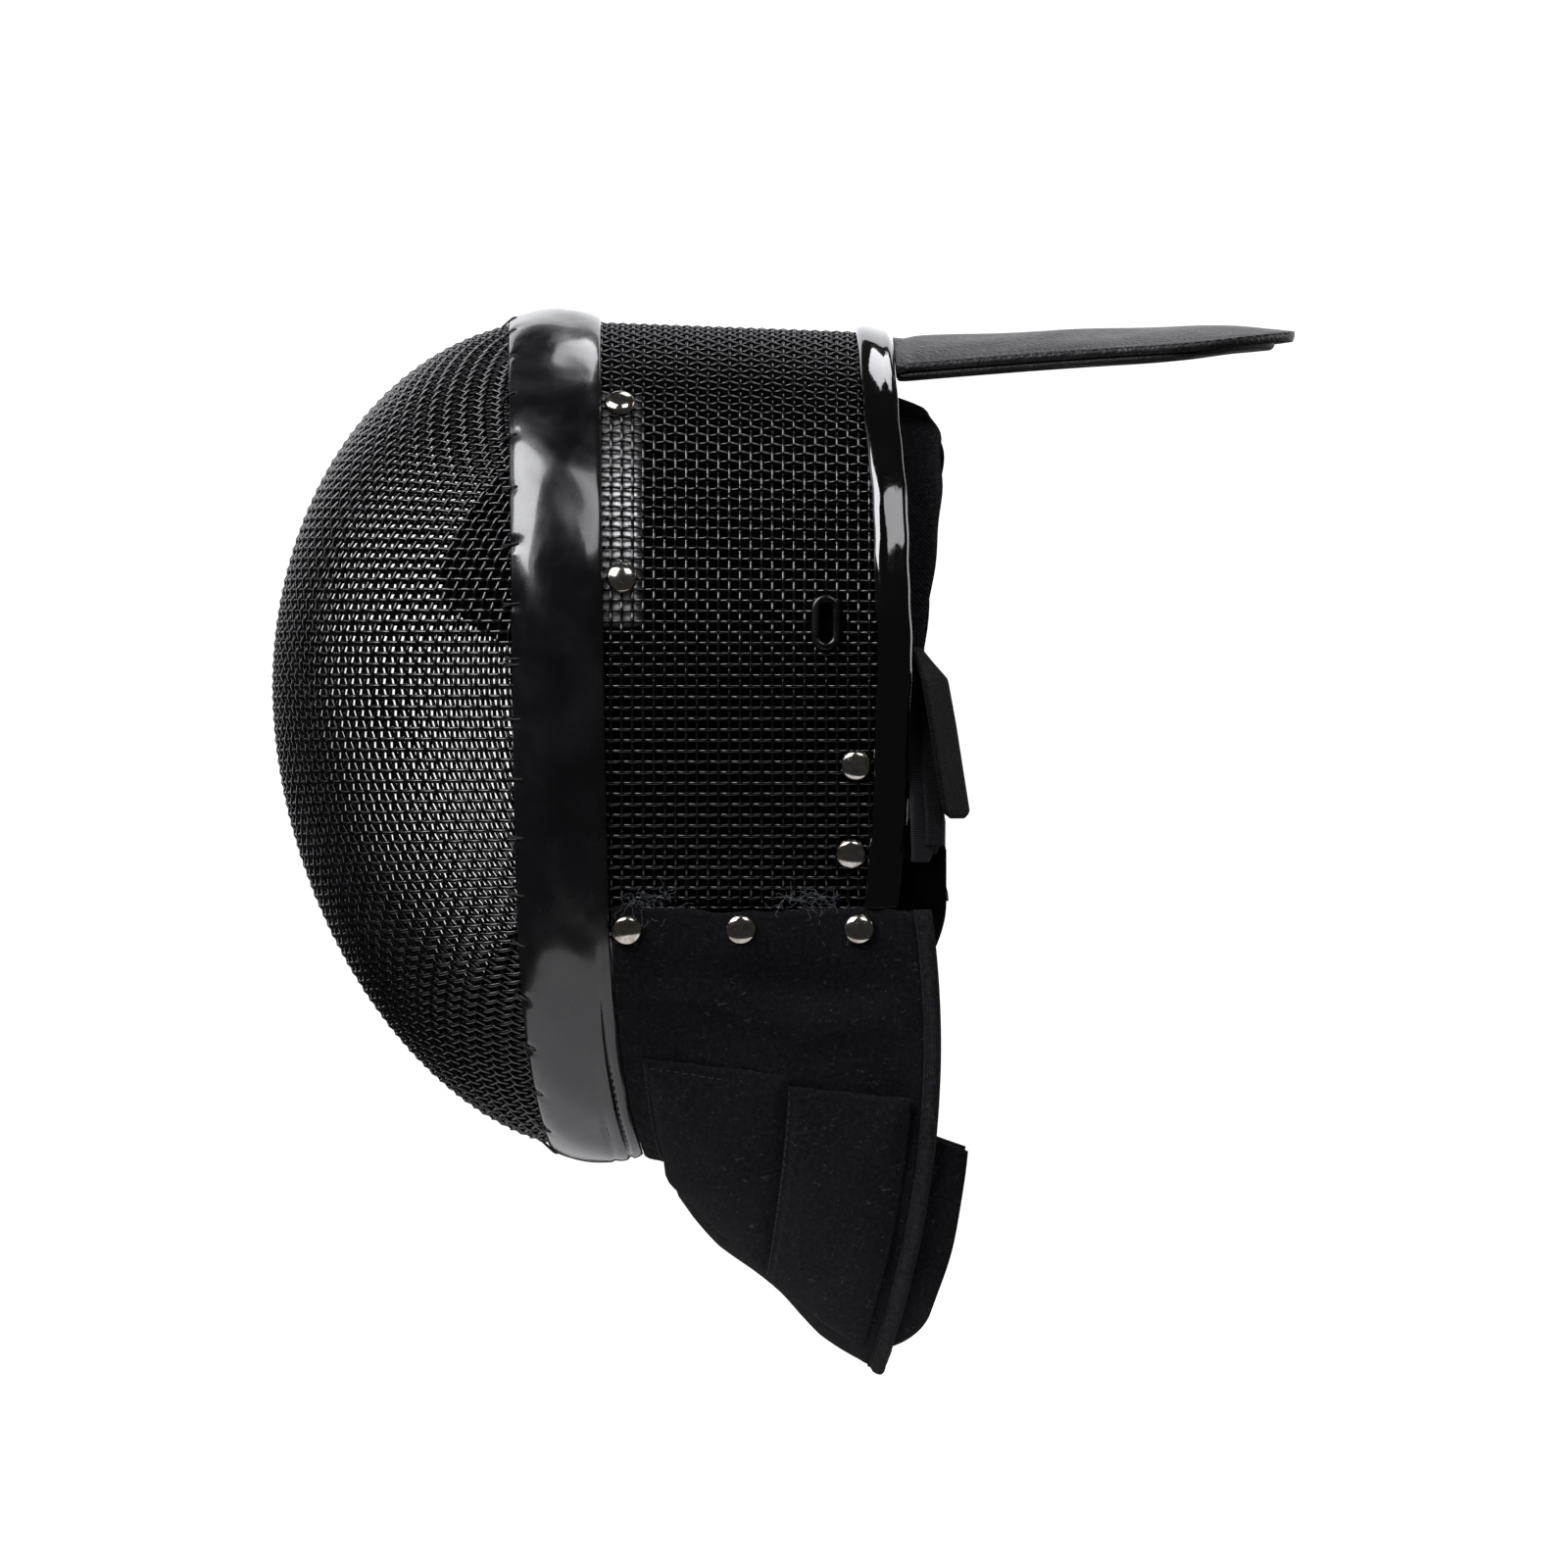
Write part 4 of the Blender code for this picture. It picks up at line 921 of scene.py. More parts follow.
def dome_net():
    """Crossings of the dome's net, a pitch apart along both wires, from the two centre lines outwards."""
    turns = [
        math.radians(a)
        for a in (
            -16,
            -12,
            -8,
            -4,
            0,
            4,
            8,
            12,
            17,
            22,
            27,
            32,
            37,
            42,
            47,
            52,
            57,
            62,
            67,
            72,
            76,
            80,
            83,
            86,
            88,
            89.4,
        )
    ]
    angles = np.linspace(-math.pi, math.pi, 181)[:-1]
    rows = []
    for turn in turns:
        if turn >= 0:
            rows.append([dome_point(a, turn) for a in angles])
        else:
            rows.append([trim_base(a, -turn * 0.06) for a in angles])
    points = np.array(rows).reshape(-1, 3)
    faces = [tuple(int(i) for i in f) for f in quads_of(len(turns), len(angles), wrap_columns=True)]
    pole = len(points)
    points = np.concatenate([points, [[0.0, RING_Y - DOME_DEPTH, POLE_Z]]])
    last = (len(turns) - 1) * len(angles)
    faces += [(last + i, last + (i + 1) % len(angles), pole) for i in range(len(angles))]
    tree = BVHTree.FromPolygons([Vector(p) for p in points], faces)

    def settle(point):
        place, normal, _, _ = tree.find_nearest(point)
        if normal.dot(place - Vector((0.0, RING_Y + 0.02, POLE_Z))) < 0:
            normal = -normal
        return place, normal

    def walk(start, heading, plane):
        """Points a pitch apart from start, in the plane with that normal."""
        line = [start]
        for _ in range(NET_STEPS):
            guess = line[-1] + heading * WIRE_PITCH
            for _ in range(4):
                guess, _ = settle(guess)
                guess -= plane * (guess - start).dot(plane)
                step = guess - line[-1]
                guess = line[-1] + step.normalized() * WIRE_PITCH
            heading = (guess - line[-1]).normalized()
            line.append(guess)
            if guess.y > RING_Y + NET_REACH:
                break
        return line

    pole_at, _ = settle(Vector((0.0, RING_Y - DOME_DEPTH, POLE_Z)))
    side = walk(pole_at, Vector((1.0, 0.0, 0.0)), Vector((0.0, 0.0, 1.0)))
    nets = {}
    for name, heading in (("up", 1.0), ("down", -1.0)):
        centre = walk(pole_at, Vector((0.0, 0.0, heading)), Vector((1.0, 0.0, 0.0)))
        net = {(0, j): p for j, p in enumerate(centre)}
        net.update({(i, 0): p for i, p in enumerate(side)})
        for j in range(1, len(centre)):
            for i in range(1, len(side)):
                a, b, c = net.get((i - 1, j)), net.get((i, j - 1)), net.get((i - 1, j - 1))
                if a is None or b is None or c is None:
                    continue
                guess = a + b - c
                for _ in range(3):
                    place, normal = settle(guess)
                    pa = a - normal * (a - place).dot(normal)
                    pb = b - normal * (b - place).dot(normal)
                    ra = WIRE_PITCH**2 - (a - pa).length_squared
                    rb = WIRE_PITCH**2 - (b - pb).length_squared
                    gap = pb - pa
                    far = gap.length
                    if far < WIRE_PITCH * 0.2:
                        guess = None
                        break
                    share = (ra - rb + far**2) / (2 * far)
                    rise = math.sqrt(max(0.0, ra - share**2))
                    foot = pa + gap * (share / far)
                    way = normal.cross(gap).normalized()
                    if way.dot(foot - c) < 0:
                        way = -way
                    guess = foot + way * rise
                if guess is None:
                    continue
                if guess.y > RING_Y + NET_REACH or (guess - a).length < WIRE_PITCH * 0.3:
                    continue
                net[(i, j)] = guess
        nets[name] = net
    return nets, settle


def dome_wires():
    nets, settle = dome_net()
    most_i = max(i for net in nets.values() for i, _ in net)
    most_j = max(j for net in nets.values() for _, j in net)
    size_i, size_j = 2 * most_i + 1, 2 * most_j + 1
    grid = np.full((size_i, size_j, 3), np.nan)
    normal = np.zeros_like(grid)
    for name, net in nets.items():
        sign = 1 if name == "up" else -1
        for (i, j), point in net.items():
            shown = RING_Y + ring_shift(point.z) - DOME_EDGE
            if point.y > shown:
                continue
            _, out = settle(point)
            for side in (1, -1):
                at = (most_i + side * i, most_j + sign * j)
                grid[at] = (side * point.x, point.y, point.z)
                normal[at] = (side * out.x, out.y, out.z)
    upright, level = [], []
    for family, lines, axis in ((0, upright, 1), (1, level, 0)):
        for k in range(grid.shape[1 - axis]):
            run_grid = grid[k] if axis == 1 else grid[:, k]
            run_normal = normal[k] if axis == 1 else normal[:, k]
            run = np.flatnonzero(~np.isnan(run_grid[:, 0]))
            if len(run) < 3:
                continue
            for part in np.split(run, np.flatnonzero(np.diff(run) > 1) + 1):
                if len(part) > 2:
                    lines.append(weave_lines(run_grid[part], run_normal[part], part[0] + k + family))
    return upright, level


def make_wires():
    wire = wire_look()
    families = (
        ("front_mesh", ("upright", "level"), dome_wires(), DOME_WIRE_RADIUS),
        ("side_mesh", ("long", "arch"), side_wires(), WIRE_RADIUS),
    )
    for solid, kinds, runs, radius in families:
        for kind, lines in zip(kinds, runs):
            name = f"{solid}_{kind}_wires"
            finish_piece(name, tubes(name, lines, radius), wire, [solid])


# Soft shapes

def to_array(rows):
    return np.array([[tuple(p) for p in row] for row in rows], float)


def both_sides(rows):
    """Rows from the left edge to the centre plane, carried on to the right edge."""
    grid = to_array(rows)
    other = grid[:, -2::-1].copy()
    other[..., 0] *= -1
    return np.concatenate([grid, other], axis=1)


def on_right(grid):
    other = grid.copy()
    other[..., 0] *= -1
    return other


def ripple(grid, *waves):
    """A smooth uneven height over a grid: a sum of waves (length and height in metres, direction, phase)."""
    total = np.zeros(grid.shape[:2])
    for length, height, way, phase in waves:
        total += height * np.sin(2 * math.pi * (grid @ np.array(way)) / length + phase)
    return total


def edge_distance(grid):
    """Distance of each grid point from the nearest edge of the sheet, in metres."""
    uv = grid_uv(grid)
    across, along = uv[..., 0], uv[..., 1]
    return np.minimum(np.minimum(across, across[:, -1:] - across), np.minimum(along, along[-1:, :] - along))


def pillow(distance, soft, crown):
    """Height of a stuffed sheet at a distance from its sewn edge."""
    return crown * (1.0 - np.exp(-np.maximum(distance, 0.0) / soft))


def lay_slab(name, grid, above, below, centre):
    """A slab whose upper face looks away from a centre."""
    normal = grid_normals(grid)
    sign = 1.0 if ((grid - np.array(centre)) * normal).sum() > 0 else -1.0
    return slab(name, grid, above, below, sign)


def grid_out(grid, centre):
    normal = grid_normals(grid)
    return normal if ((grid - np.array(centre)) * normal).sum() > 0 else -normal


def inflate(obj, rim, pressure, cap):
    """Cloth simulation of a closed pad whose rim is sewn down. No point moves further than the cap."""
    mesh = obj.data
    start = np.array([v.co for v in mesh.vertices])
    group = obj.vertex_groups.new(name="sewn")
    group.add([int(i) for i in rim], 1.0, "REPLACE")
    cloth = obj.modifiers.new("cloth", "CLOTH")
    cloth.settings.quality = 6
    cloth.settings.mass = 0.15
    cloth.settings.tension_stiffness = 12
    cloth.settings.compression_stiffness = 8
    cloth.settings.bending_stiffness = 0.3
    cloth.settings.use_pressure = True
    cloth.settings.uniform_pressure_force = pressure
    cloth.settings.vertex_group_mass = "sewn"
    cloth.settings.effector_weights.gravity = 0.0
    cloth.collision_settings.use_collision = False
    scene = bpy.context.scene
    for number in range(1, SIM_FRAMES + 1):
        scene.frame_set(number)
    graph = bpy.context.evaluated_depsgraph_get()
    made = obj.evaluated_get(graph).to_mesh()
    moved = np.array([v.co for v in made.vertices])
    obj.evaluated_get(graph).to_mesh_clear()
    obj.modifiers.remove(cloth)
    obj.vertex_groups.remove(group)
    shift = moved - start
    size = np.linalg.norm(shift, axis=1, keepdims=True)
    shift *= cap * np.tanh(size / cap) / np.maximum(size, 1e-12)
    mesh.vertices.foreach_set("co", (start + shift).ravel())
    mesh.update()
    scene.frame_set(1)


def soften(obj):
    modifier = obj.modifiers.new("soft", "SUBSURF")
    modifier.levels = modifier.render_levels = 1


def rim_of(rows, columns):
    """Vertex numbers of a slab's upper and lower rim."""
    index = np.arange(rows * columns).reshape(rows, columns)
    rim = np.unique(np.concatenate([index[0], index[-1], index[:, 0], index[:, -1]]))
    return np.concatenate([rim, rim + rows * columns])


def stitches(name, line, normals, pitch, length, radius, look, slot):
    """A row of short stitches along a line: each dips into the cloth at both ends."""
    line = np.asarray(line, float)
    normals = np.asarray(normals, float)
    run = np.concatenate([[0.0], np.cumsum(np.linalg.norm(np.diff(line, axis=0), axis=1))])
    made = []
    count = int(run[-1] / pitch)
    for i in range(count):
        at = (i + 0.5) * pitch
        ends = np.array([at - length / 2, at - length / 4, at, at + length / 4, at + length / 2])
        points = np.stack([np.interp(ends, run, line[:, k]) for k in range(3)], axis=1)
        up = np.stack([np.interp(ends, run, normals[:, k]) for k in range(3)], axis=1)
        up /= np.linalg.norm(up, axis=1, keepdims=True)
        sink = np.array([-radius * 1.2, radius * 0.5, radius * 0.8, radius * 0.5, -radius * 1.2])
        points = points + up * sink[:, None]
        made.append((points, up))
    finish_piece(name, tubes(name, made, radius), look)


def ribbon_grid(stations, width, count=5):
    rows = []
    for middle, across in stations:
        way = across.normalized()
        rows.append([middle + way * width * (i / (count - 1) - 0.5) for i in range(count)])
    return to_array(rows)


def smooth_path(points, count):
    """A Catmull-Rom curve through points."""
    points = [Vector(p) for p in points]
    points = [points[0] * 2 - points[1]] + points + [points[-1] * 2 - points[-2]]
    made = []
    spans = len(points) - 3
    for i in range(count + 1):
        at = i / count * spans
        k = min(int(at), spans - 1)
        t = at - k
        a, b, c, d = points[k:k + 4]
        made.append(
            0.5
            * ((2 * b) + (c - a) * t + (2 * a - 5 * b + 4 * c - d) * t**2 + (3 * b - a - 3 * c + d) * t**3)
        )
    return made


# Trims

def make_front_trim():
    """The vinyl band: a soft bead pinched by its stitches, with two sewn lines near the chin."""
    angles = arc_angles(-math.pi, math.pi, TRIM_STEP, lambda a: np.array(arch(a)))[:-1]
    points = np.array([arch(a) for a in angles])
    run = np.concatenate([[0.0], np.cumsum(np.linalg.norm(np.diff(points, axis=0), axis=1))])
    shares = np.concatenate(
        [
            np.linspace(-1, -0.86, 5)[:-1],
            np.linspace(-0.86, 0.6, 22)[:-1],
            np.linspace(0.6, 0.97, 15),
            [1.0],
        ]
    )
    half = FRONT_TRIM_WIDTH / 2
    base = HALF_WALL + 2 * GAP
    ring = []
    for k, angle in enumerate(angles):
        z = arch(angle)[1]
        out = arch_normal(angle)
        chin = min(1.0, max(0.0, (-0.185 - z) / 0.03))
        deep_chin = min(1.0, max(0.0, (-0.215 - z) / 0.02))
        pinch = max(0.0, math.cos(2 * math.pi * run[k] / STITCH_STEP)) ** 24
        heights = []
        for share in shares:
            round_off = max(0.0, 1.0 - abs(share) ** 2.0) ** 0.5
            height = 0.0003 + 0.0026 * round_off
            height += (
                0.00028 * math.sin(run[k] * 91 + 2.0 * share) * round_off
                + 0.00016 * math.sin(run[k] * 233 - 3.0 * share + 1.0) * round_off
            )
            height -= 0.0009 * pinch * math.exp(-((share + 0.93) / 0.16) ** 2)
            height -= chin * 0.0009 * math.exp(-((share - 0.74) / 0.045) ** 2)
            height -= deep_chin * 0.0008 * math.exp(-((share - 0.42) / 0.04) ** 2)
            height -= chin * 0.0007 * max(0.0, share - 0.45)
            heights.append(max(0.0003, height))
        shift = 0.0007 * pinch
        row = [
            trim_base(angle, share * half + (shift if share < -0.9 else 0.0)) + out * (base + h)
            for share, h in zip(shares, heights)
        ]
        row += [trim_base(angle, share * half) + out * base for share in (0.97, 0.0, -0.5, -0.97)]
        ring.append(row)
    grid = to_array(ring)
    finish_piece("front_trim_band", ring_mesh("front_trim_band", grid), vinyl, ["front_trim"])
    made = []
    for k in range(len(ring)):
        turn = run[k] / STITCH_STEP
        if abs(turn - round(turn)) * STITCH_STEP < (run[1] - run[0]) * 0.51:
            angle = angles[k]
            out = arch_normal(angle)
            for slant in (-0.0006, 0.0006):
                near = trim_base(angle + slant * 9, -half - 0.0022) + out * 0.0008
                edge = trim_base(angle, -half + 0.0002) + out * (base + 0.0008)
                top = trim_base(angle, -half + 0.0018) + out * (base + 0.0016)
                end = trim_base(angle - slant * 6, -half + 0.0034) + out * (base + 0.0008)
                line = np.array([tuple(p) for p in smooth_path([near, edge, top, end], 8)])
                made.append((line, np.tile(np.array(out), (len(line), 1))))
    finish_piece("front_trim_stitches", tubes("front_trim_stitches", made, TRIM_THREAD), thread)
    for name, share, low, lift in CHIN_SEAMS:
        for side, sign in (("left", 1.0), ("right", -1.0)):
            line, ups = [], []
            for angle in np.linspace(angle_at(low), math.pi - 0.02, 70):
                out = arch_normal(angle)
                point = trim_base(angle, share * half) + out * (base + lift)
                line.append((sign * point.x, point.y, point.z))
                ups.append((sign * out.x, out.y, out.z))
            stitches(f"front_trim_seam_{name}_{side}", line, ups, *TRIM_STITCH, thread, "vinyl")


def make_rear_trim():
    """The glossy channel over the rear edge of the wire."""
    slot = HALF_WALL + GAP
    outer = slot + REAR_TRIM_WALL
    width = REAR_TRIM_WIDTH
    inside = [
        (slot + 0.0001, 0.0002),
        (slot + 0.0004, -0.0002),
        (outer - 0.0011, 0.0001),
        (outer - 0.0007, 0.0008),
        (outer - 0.0003, 0.0020),
        (outer - 0.00005, 0.0036),
        (outer + 0.00005, 0.0054),
        (outer, width - 0.0034),
    ]
    outside = [
        (slot + 0.0001, 0.0002),
        (slot + 0.0004, -0.0002),
        (outer - 0.0005, 0.0),
        (outer + 0.0001, 0.0005),
        (outer + 0.0004, 0.0013),
    ]
    outside += [
        (outer + 0.0006 - 0.0010 * ((y - 0.0026) / 0.0058) ** 2, y)
        for y in (0.0026, 0.0038, 0.0050, 0.0062, 0.0074)
    ]
    turns = np.linspace(0.0, math.pi / 2, 7)
    outside += [
        ((outer - 0.0004) * math.cos(turn) ** 0.8, width - 0.0026 + 0.0026 * math.sin(turn))
        for turn in turns
    ]
    inside += [
        (outer * math.cos(turn) ** 0.8, width - 0.0026 + 0.0026 * math.sin(turn)) for turn in turns[:-1]
    ]
    outline = outside + [(-n, y) for n, y in reversed(inside)]
    outline += [(-slot, width - REAR_TRIM_WALL), (slot, width - REAR_TRIM_WALL)]
    end = angle_at(CENTRE_Z - REAR_TRIM_DROP + REAR_TRIM_END)
    sections = []
    for angle in arc_angles(-end, end, REAR_TRIM_STEP, lambda a: np.array(arch(a))):
        z = arch(angle)[1]
        wobble = 0.00025 * math.sin(z * 130 + 1.3) + 0.00012 * math.sin(z * 410)
        sections.append([side_point(angle, lip_y(z) + y + wobble, -n) for n, y in outline])
    for near, beside, at in ((0, 1, 1), (-1, -2, -1)):
        sections.insert(at, [a.lerp(b, 0.05) for a, b in zip(sections[near], sections[beside])])
    grid = to_array(sections)
    rows, columns, _ = grid.shape
    mesh = mesh_from("rear_trim_channel", grid.reshape(-1, 3), capped_faces(rows, columns))
    finish_piece("rear_trim_channel", outward(mesh), channel, ["rear_trim"])


# Bib

def bib_field(alongs, downs):
    """Points of the bib's cloth: a wavy top edge, a soft crease, slow waves and a gather at the ring."""
    rows = []
    for along in alongs:
        row = []
        for down in downs:
            point = bib_middle(along, down)
            out = bib_normal(along, down)
            crease = math.exp(-((point.z + 0.2060 + 0.005 * math.sin(point.y * 60)) / 0.0050) ** 2)
            window = math.exp(-((point.y - 0.014) / 0.040) ** 2)
            fold = 0.0030 * crease * window
            fold -= (
                0.0018
                * math.exp(-((point.z + 0.1965 + 0.004 * math.sin(point.y * 45)) / 0.0060) ** 2)
                * window
            )
            fold += (
                0.0009
                * math.exp(-((point.z + 0.1870) / 0.0045) ** 2)
                * (0.6 + 0.4 * math.sin(point.y * 130 + 0.8))
            )
            fold -= (
                0.0007
                * math.exp(-((point.z + 0.2190 + OVERLAY_SLOPE * (along - 0.3)) / 0.0012) ** 2)
                * (0.7 + 0.3 * math.sin(point.y * 900))
            )
            wave = (
                0.00065 * math.sin(point.z * 62 + point.y * 95 + 0.6)
                + 0.0005 * math.sin(point.z * 131 - point.y * 47)
            )
            wave += 0.00025 * math.sin(point.y * 290 + point.z * 120)
            calm = (
                min(1.0, along / 0.10)
                * min(1.0, (1.0 - along) / 0.06 + 0.15)
                * min(1.0, down / 0.10 + 0.2)
            )
            gather = (
                0.0006
                * math.sin(down * 78.0)
                * math.exp(-along / 0.05)
                * min(1.0, down / 0.2)
                * min(1.0, along / 0.035)
            )
            top = math.exp(-down / 0.03)
            flutter = (
                Vector((0.0, 0.0, 1.0))
                * top
                * (0.0008 * math.sin(along * 9.0 + 0.8) + 0.0004 * math.sin(along * 31.0))
            )
            row.append(point + out * ((fold + wave) * calm + gather) + flutter)
        rows.append(row)
    return rows


def make_bib():
    downs = [math.sin(math.pi / 2 * s) ** 1.15 for s in steps(0.0, 1.0, BIB_COLUMNS)]
    alongs = steps(0.0, 1.0, BIB_ROWS)
    grid = both_sides(bib_field(alongs, downs))
    half = BIB_THICK / 2
    thick = half * (0.55 + 0.45 * np.clip(edge_distance(grid) / 0.0015, 0, 1))
    mesh = lay_slab("bib_cloth", grid, thick, thick, BIB_INSIDE)
    cloth = finish_piece("bib_cloth", mesh, canvas, ["bib"])
    return grid


def make_binding():
    downs = [math.sin(math.pi / 2 * s) ** 1.15 for s in steps(0.0, 1.0, BIB_COLUMNS)]
    rows = []
    for down in downs:
        out = bib_normal(1.0, down)
        edge = bib_middle(1.0, down)
        back = (edge - bib_middle(0.97, down)).normalized()
        wave = 0.00022 * math.sin(down * 38.0) + 0.0001 * math.sin(down * 110.0)
        centre = edge + back * (BINDING_WIDTH / 2 + GAP - 0.0004) + out * wave
        row = []
        for turn in np.linspace(0, 2 * math.pi, 17)[:-1]:
            a, b = math.cos(turn), math.sin(turn)
            width = math.copysign(abs(a) ** 0.75, a) * (BINDING_WIDTH / 2 + 0.0004)
            depth = math.copysign(abs(b) ** 0.8, b) * BINDING_THICK / 2
            groove = 0.00060 * math.exp(-((width + 0.0014) / 0.0006) ** 2) * (1 if b > 0 else -1)
            row.append(centre + back * width + out * (depth - groove))
        rows.append(row)
    left = to_array(rows)
    right = left[-2::-1].copy()
    right[..., 0] *= -1
    grid = np.concatenate([left, right])
    count, columns, _ = grid.shape
    length = np.concatenate([[0.0], np.cumsum(np.linalg.norm(np.diff(grid.mean(axis=1), axis=0), axis=1))])
    uv = np.stack([np.tile(np.linspace(0, 0.013, columns), count), np.repeat(length, columns)], axis=1)
    mesh = mesh_from("bib_binding_tape", grid.reshape(-1, 3), capped_faces(count, columns), uv)
    finish_piece("bib_binding_tape", outward(mesh), tape, ["bib_binding"])
    for side, sign in (("left", 1.0), ("right", -1.0)):
        line, ups = [], []
        for down in steps(0.0, 0.99, 120):
            out = bib_normal(1.0, down)
            edge = bib_middle(1.0, down)
            back = (edge - bib_middle(0.97, down)).normalized()
            point = edge + back * 0.0012 + out * (BINDING_THICK / 2 * 0.62)
            line.append((sign * point.x, point.y, point.z))
            ups.append((sign * out.x, out.y, out.z))
        stitches(f"bib_binding_stitches_{side}", line, ups, *TAPE_STITCH, thread, "tape")


def make_overlays():
    """The quilted panels: stuffed, sewn down round their rims, puckered along the seams."""
    top = CENTRE_Z - OVERLAY_DROP
    base = BIB_THICK / 2 + 0.0004
    for name, start, end, rise in OVERLAYS:
        extra = 0.0 if name == "front" else 0.0011
        rows = []
        for along in steps(start, end, 44):
            foot = 0.84 - 0.06 * max(0.0, along - 0.5)
            head = down_at(
                along,
                top
                + rise
                - OVERLAY_SLOPE * along
                + 0.00025 * math.sin(along * 97 + 3 * math.sin(along * 31)),
            )
            rows.append([bib_point(along, down, base + extra) for down in steps(head, foot, 52)])
        grid = to_array(rows)
        distance = edge_distance(grid)
        uv = grid_uv(grid)
        seam = np.exp(-distance / 0.0045)
        pucker = (
            0.00020
            * seam
            * np.sin(uv[..., 1] * 2 * math.pi / 0.0063 + 3.1 * np.sin(uv[..., 1] * 131))
            * np.exp(-uv[..., 0] / 0.006)
        )
        pucker += (
            0.00012
            * seam
            * np.sin(uv[..., 0] * 2 * math.pi / 0.0071 + 2.5 * np.sin(uv[..., 0] * 117))
        )
        swell = pillow(distance - 0.0012, 0.0042, OVERLAY_THICK * 0.86) + 0.0004
        swell = swell + pucker * np.clip(distance / 0.001, 0, 1)
        swell += (
            ripple(grid, (0.034, 0.00035, (0, 1, 0.6), 0.4), (0.021, 0.00022, (0, 0.5, -1), 1.9))
            * np.clip(distance / 0.006, 0, 1)
        )
        if name == "rear":
            swell += 0.0005 * np.exp(-((uv[..., 1] - 0.0042) / 0.0016) ** 2)
        for side, shape in (("left", grid), ("right", on_right(grid))):
            piece = f"overlay_{name}_{side}"
            mesh = lay_slab(piece + "_quilt", shape, np.maximum(swell, 0.0002), 0.0002, BIB_INSIDE)
            obj = finish_piece(piece + "_quilt", mesh, quilt, [piece])
            inflate(obj, rim_of(*shape.shape[:2]), *QUILT_SWELL)
            out = grid_out(shape, BIB_INSIDE)
            inset = 2
            seam_line = shape[inset:-inset, inset] + out[inset:-inset, inset] * 0.0012
            stitches(
                piece + "_top_stitches", seam_line, out[inset:-inset, inset], *QUILT_STITCH, thread, "quilt"
            )
            column = 1
            edge_line = shape[column, inset:-inset] + out[column, inset:-inset] * 0.0014
            stitches(
                piece + "_side_stitches",
                edge_line,
                out[column, inset:-inset],
                *QUILT_STITCH,
                thread,
                "quilt",
            )


def make_inner_bib():
    depth = BINDING_THICK / 2 + 2 * GAP + INNER_BIB_THICK / 2
    head = down_at(1.0, CENTRE_Z - INNER_BIB_DROP + 0.0028)
    rows = []
    for share in steps(0.0, 1.0, 16):
        row = []
        for down in steps(head, 1.0, 60):
            near = bib_point(0.90, down, -depth)
            hem = bib_point(1.0, down, -depth)
            back = (hem - near).normalized()
            place = (down - head) / (1.0 - head)
            corner = min(1.0, max(0.0, (place - 0.45) / 0.45))
            taper = (1.0 - 0.95 * place ** 2.5) * (1.0 - 0.80 * corner * corner * (3.0 - 2.0 * corner))
            reach = (hem - near).length + INNER_BIB_REACH * taper
            point = near + back * reach * share
            fold = (
                0.0022 * math.sin(place * 9.0 + 0.5) * share**2
                + 0.0009 * math.sin(place * 23.0 + 2.0) * share
            )
            row.append(point - bib_normal(1.0, down) * (fold * (1.0 - place) + 0.0014 * share**2))
        rows.append(row)
    grid = both_sides(rows)
    half = INNER_BIB_THICK / 2
    edge = np.clip(edge_distance(grid) / 0.001, 0.4, 1)
    flap = finish_piece(
        "inner_bib_cloth",
        lay_slab("inner_bib_cloth", grid, half * edge, half * edge, BIB_INSIDE),
        canvas,
        ["inner_bib"],
    )


# Tongue

def tongue_grid(depth, inset, length, rows_count=56, columns_count=36):
    root = lip_y(CROWN_Z) + REAR_TRIM_WIDTH + GAP
    top = CROWN_Z - CROWN_FALL - FRONT_TRIM_EDGE / 2
    rows = []
    for turn in steps(0.0, math.radians(86), rows_count):
        share = math.sin(turn)
        along = share * length
        tip = max(0.0, (share - TONGUE_TIP_START) / (1.0 - TONGUE_TIP_START))
        half = TONGUE_HALF_WIDTH * (1.0 - tip**TONGUE_TIP_POWER) ** (1 / TONGUE_TIP_POWER) - inset
        rise = TONGUE_RISE * (math.sin(along * math.pi / 2) - 0.5 * tip**4)
        arch_height = TONGUE_ARCH * (1.0 - TONGUE_ARCH_FADE * along)
        row = []
        for across in steps(1.0, -1.0, columns_count):
            x = math.sin(across * math.pi / 2) * half
            z = top + rise - arch_height * (x / TONGUE_HALF_WIDTH) ** 2 - depth
            start = lip_y(z) + REAR_TRIM_WIDTH + GAP
            y = start + (root + TONGUE_LENGTH - start) * along
            row.append(Vector((x, y, z)))
        rows.append(row)
    return to_array(rows)


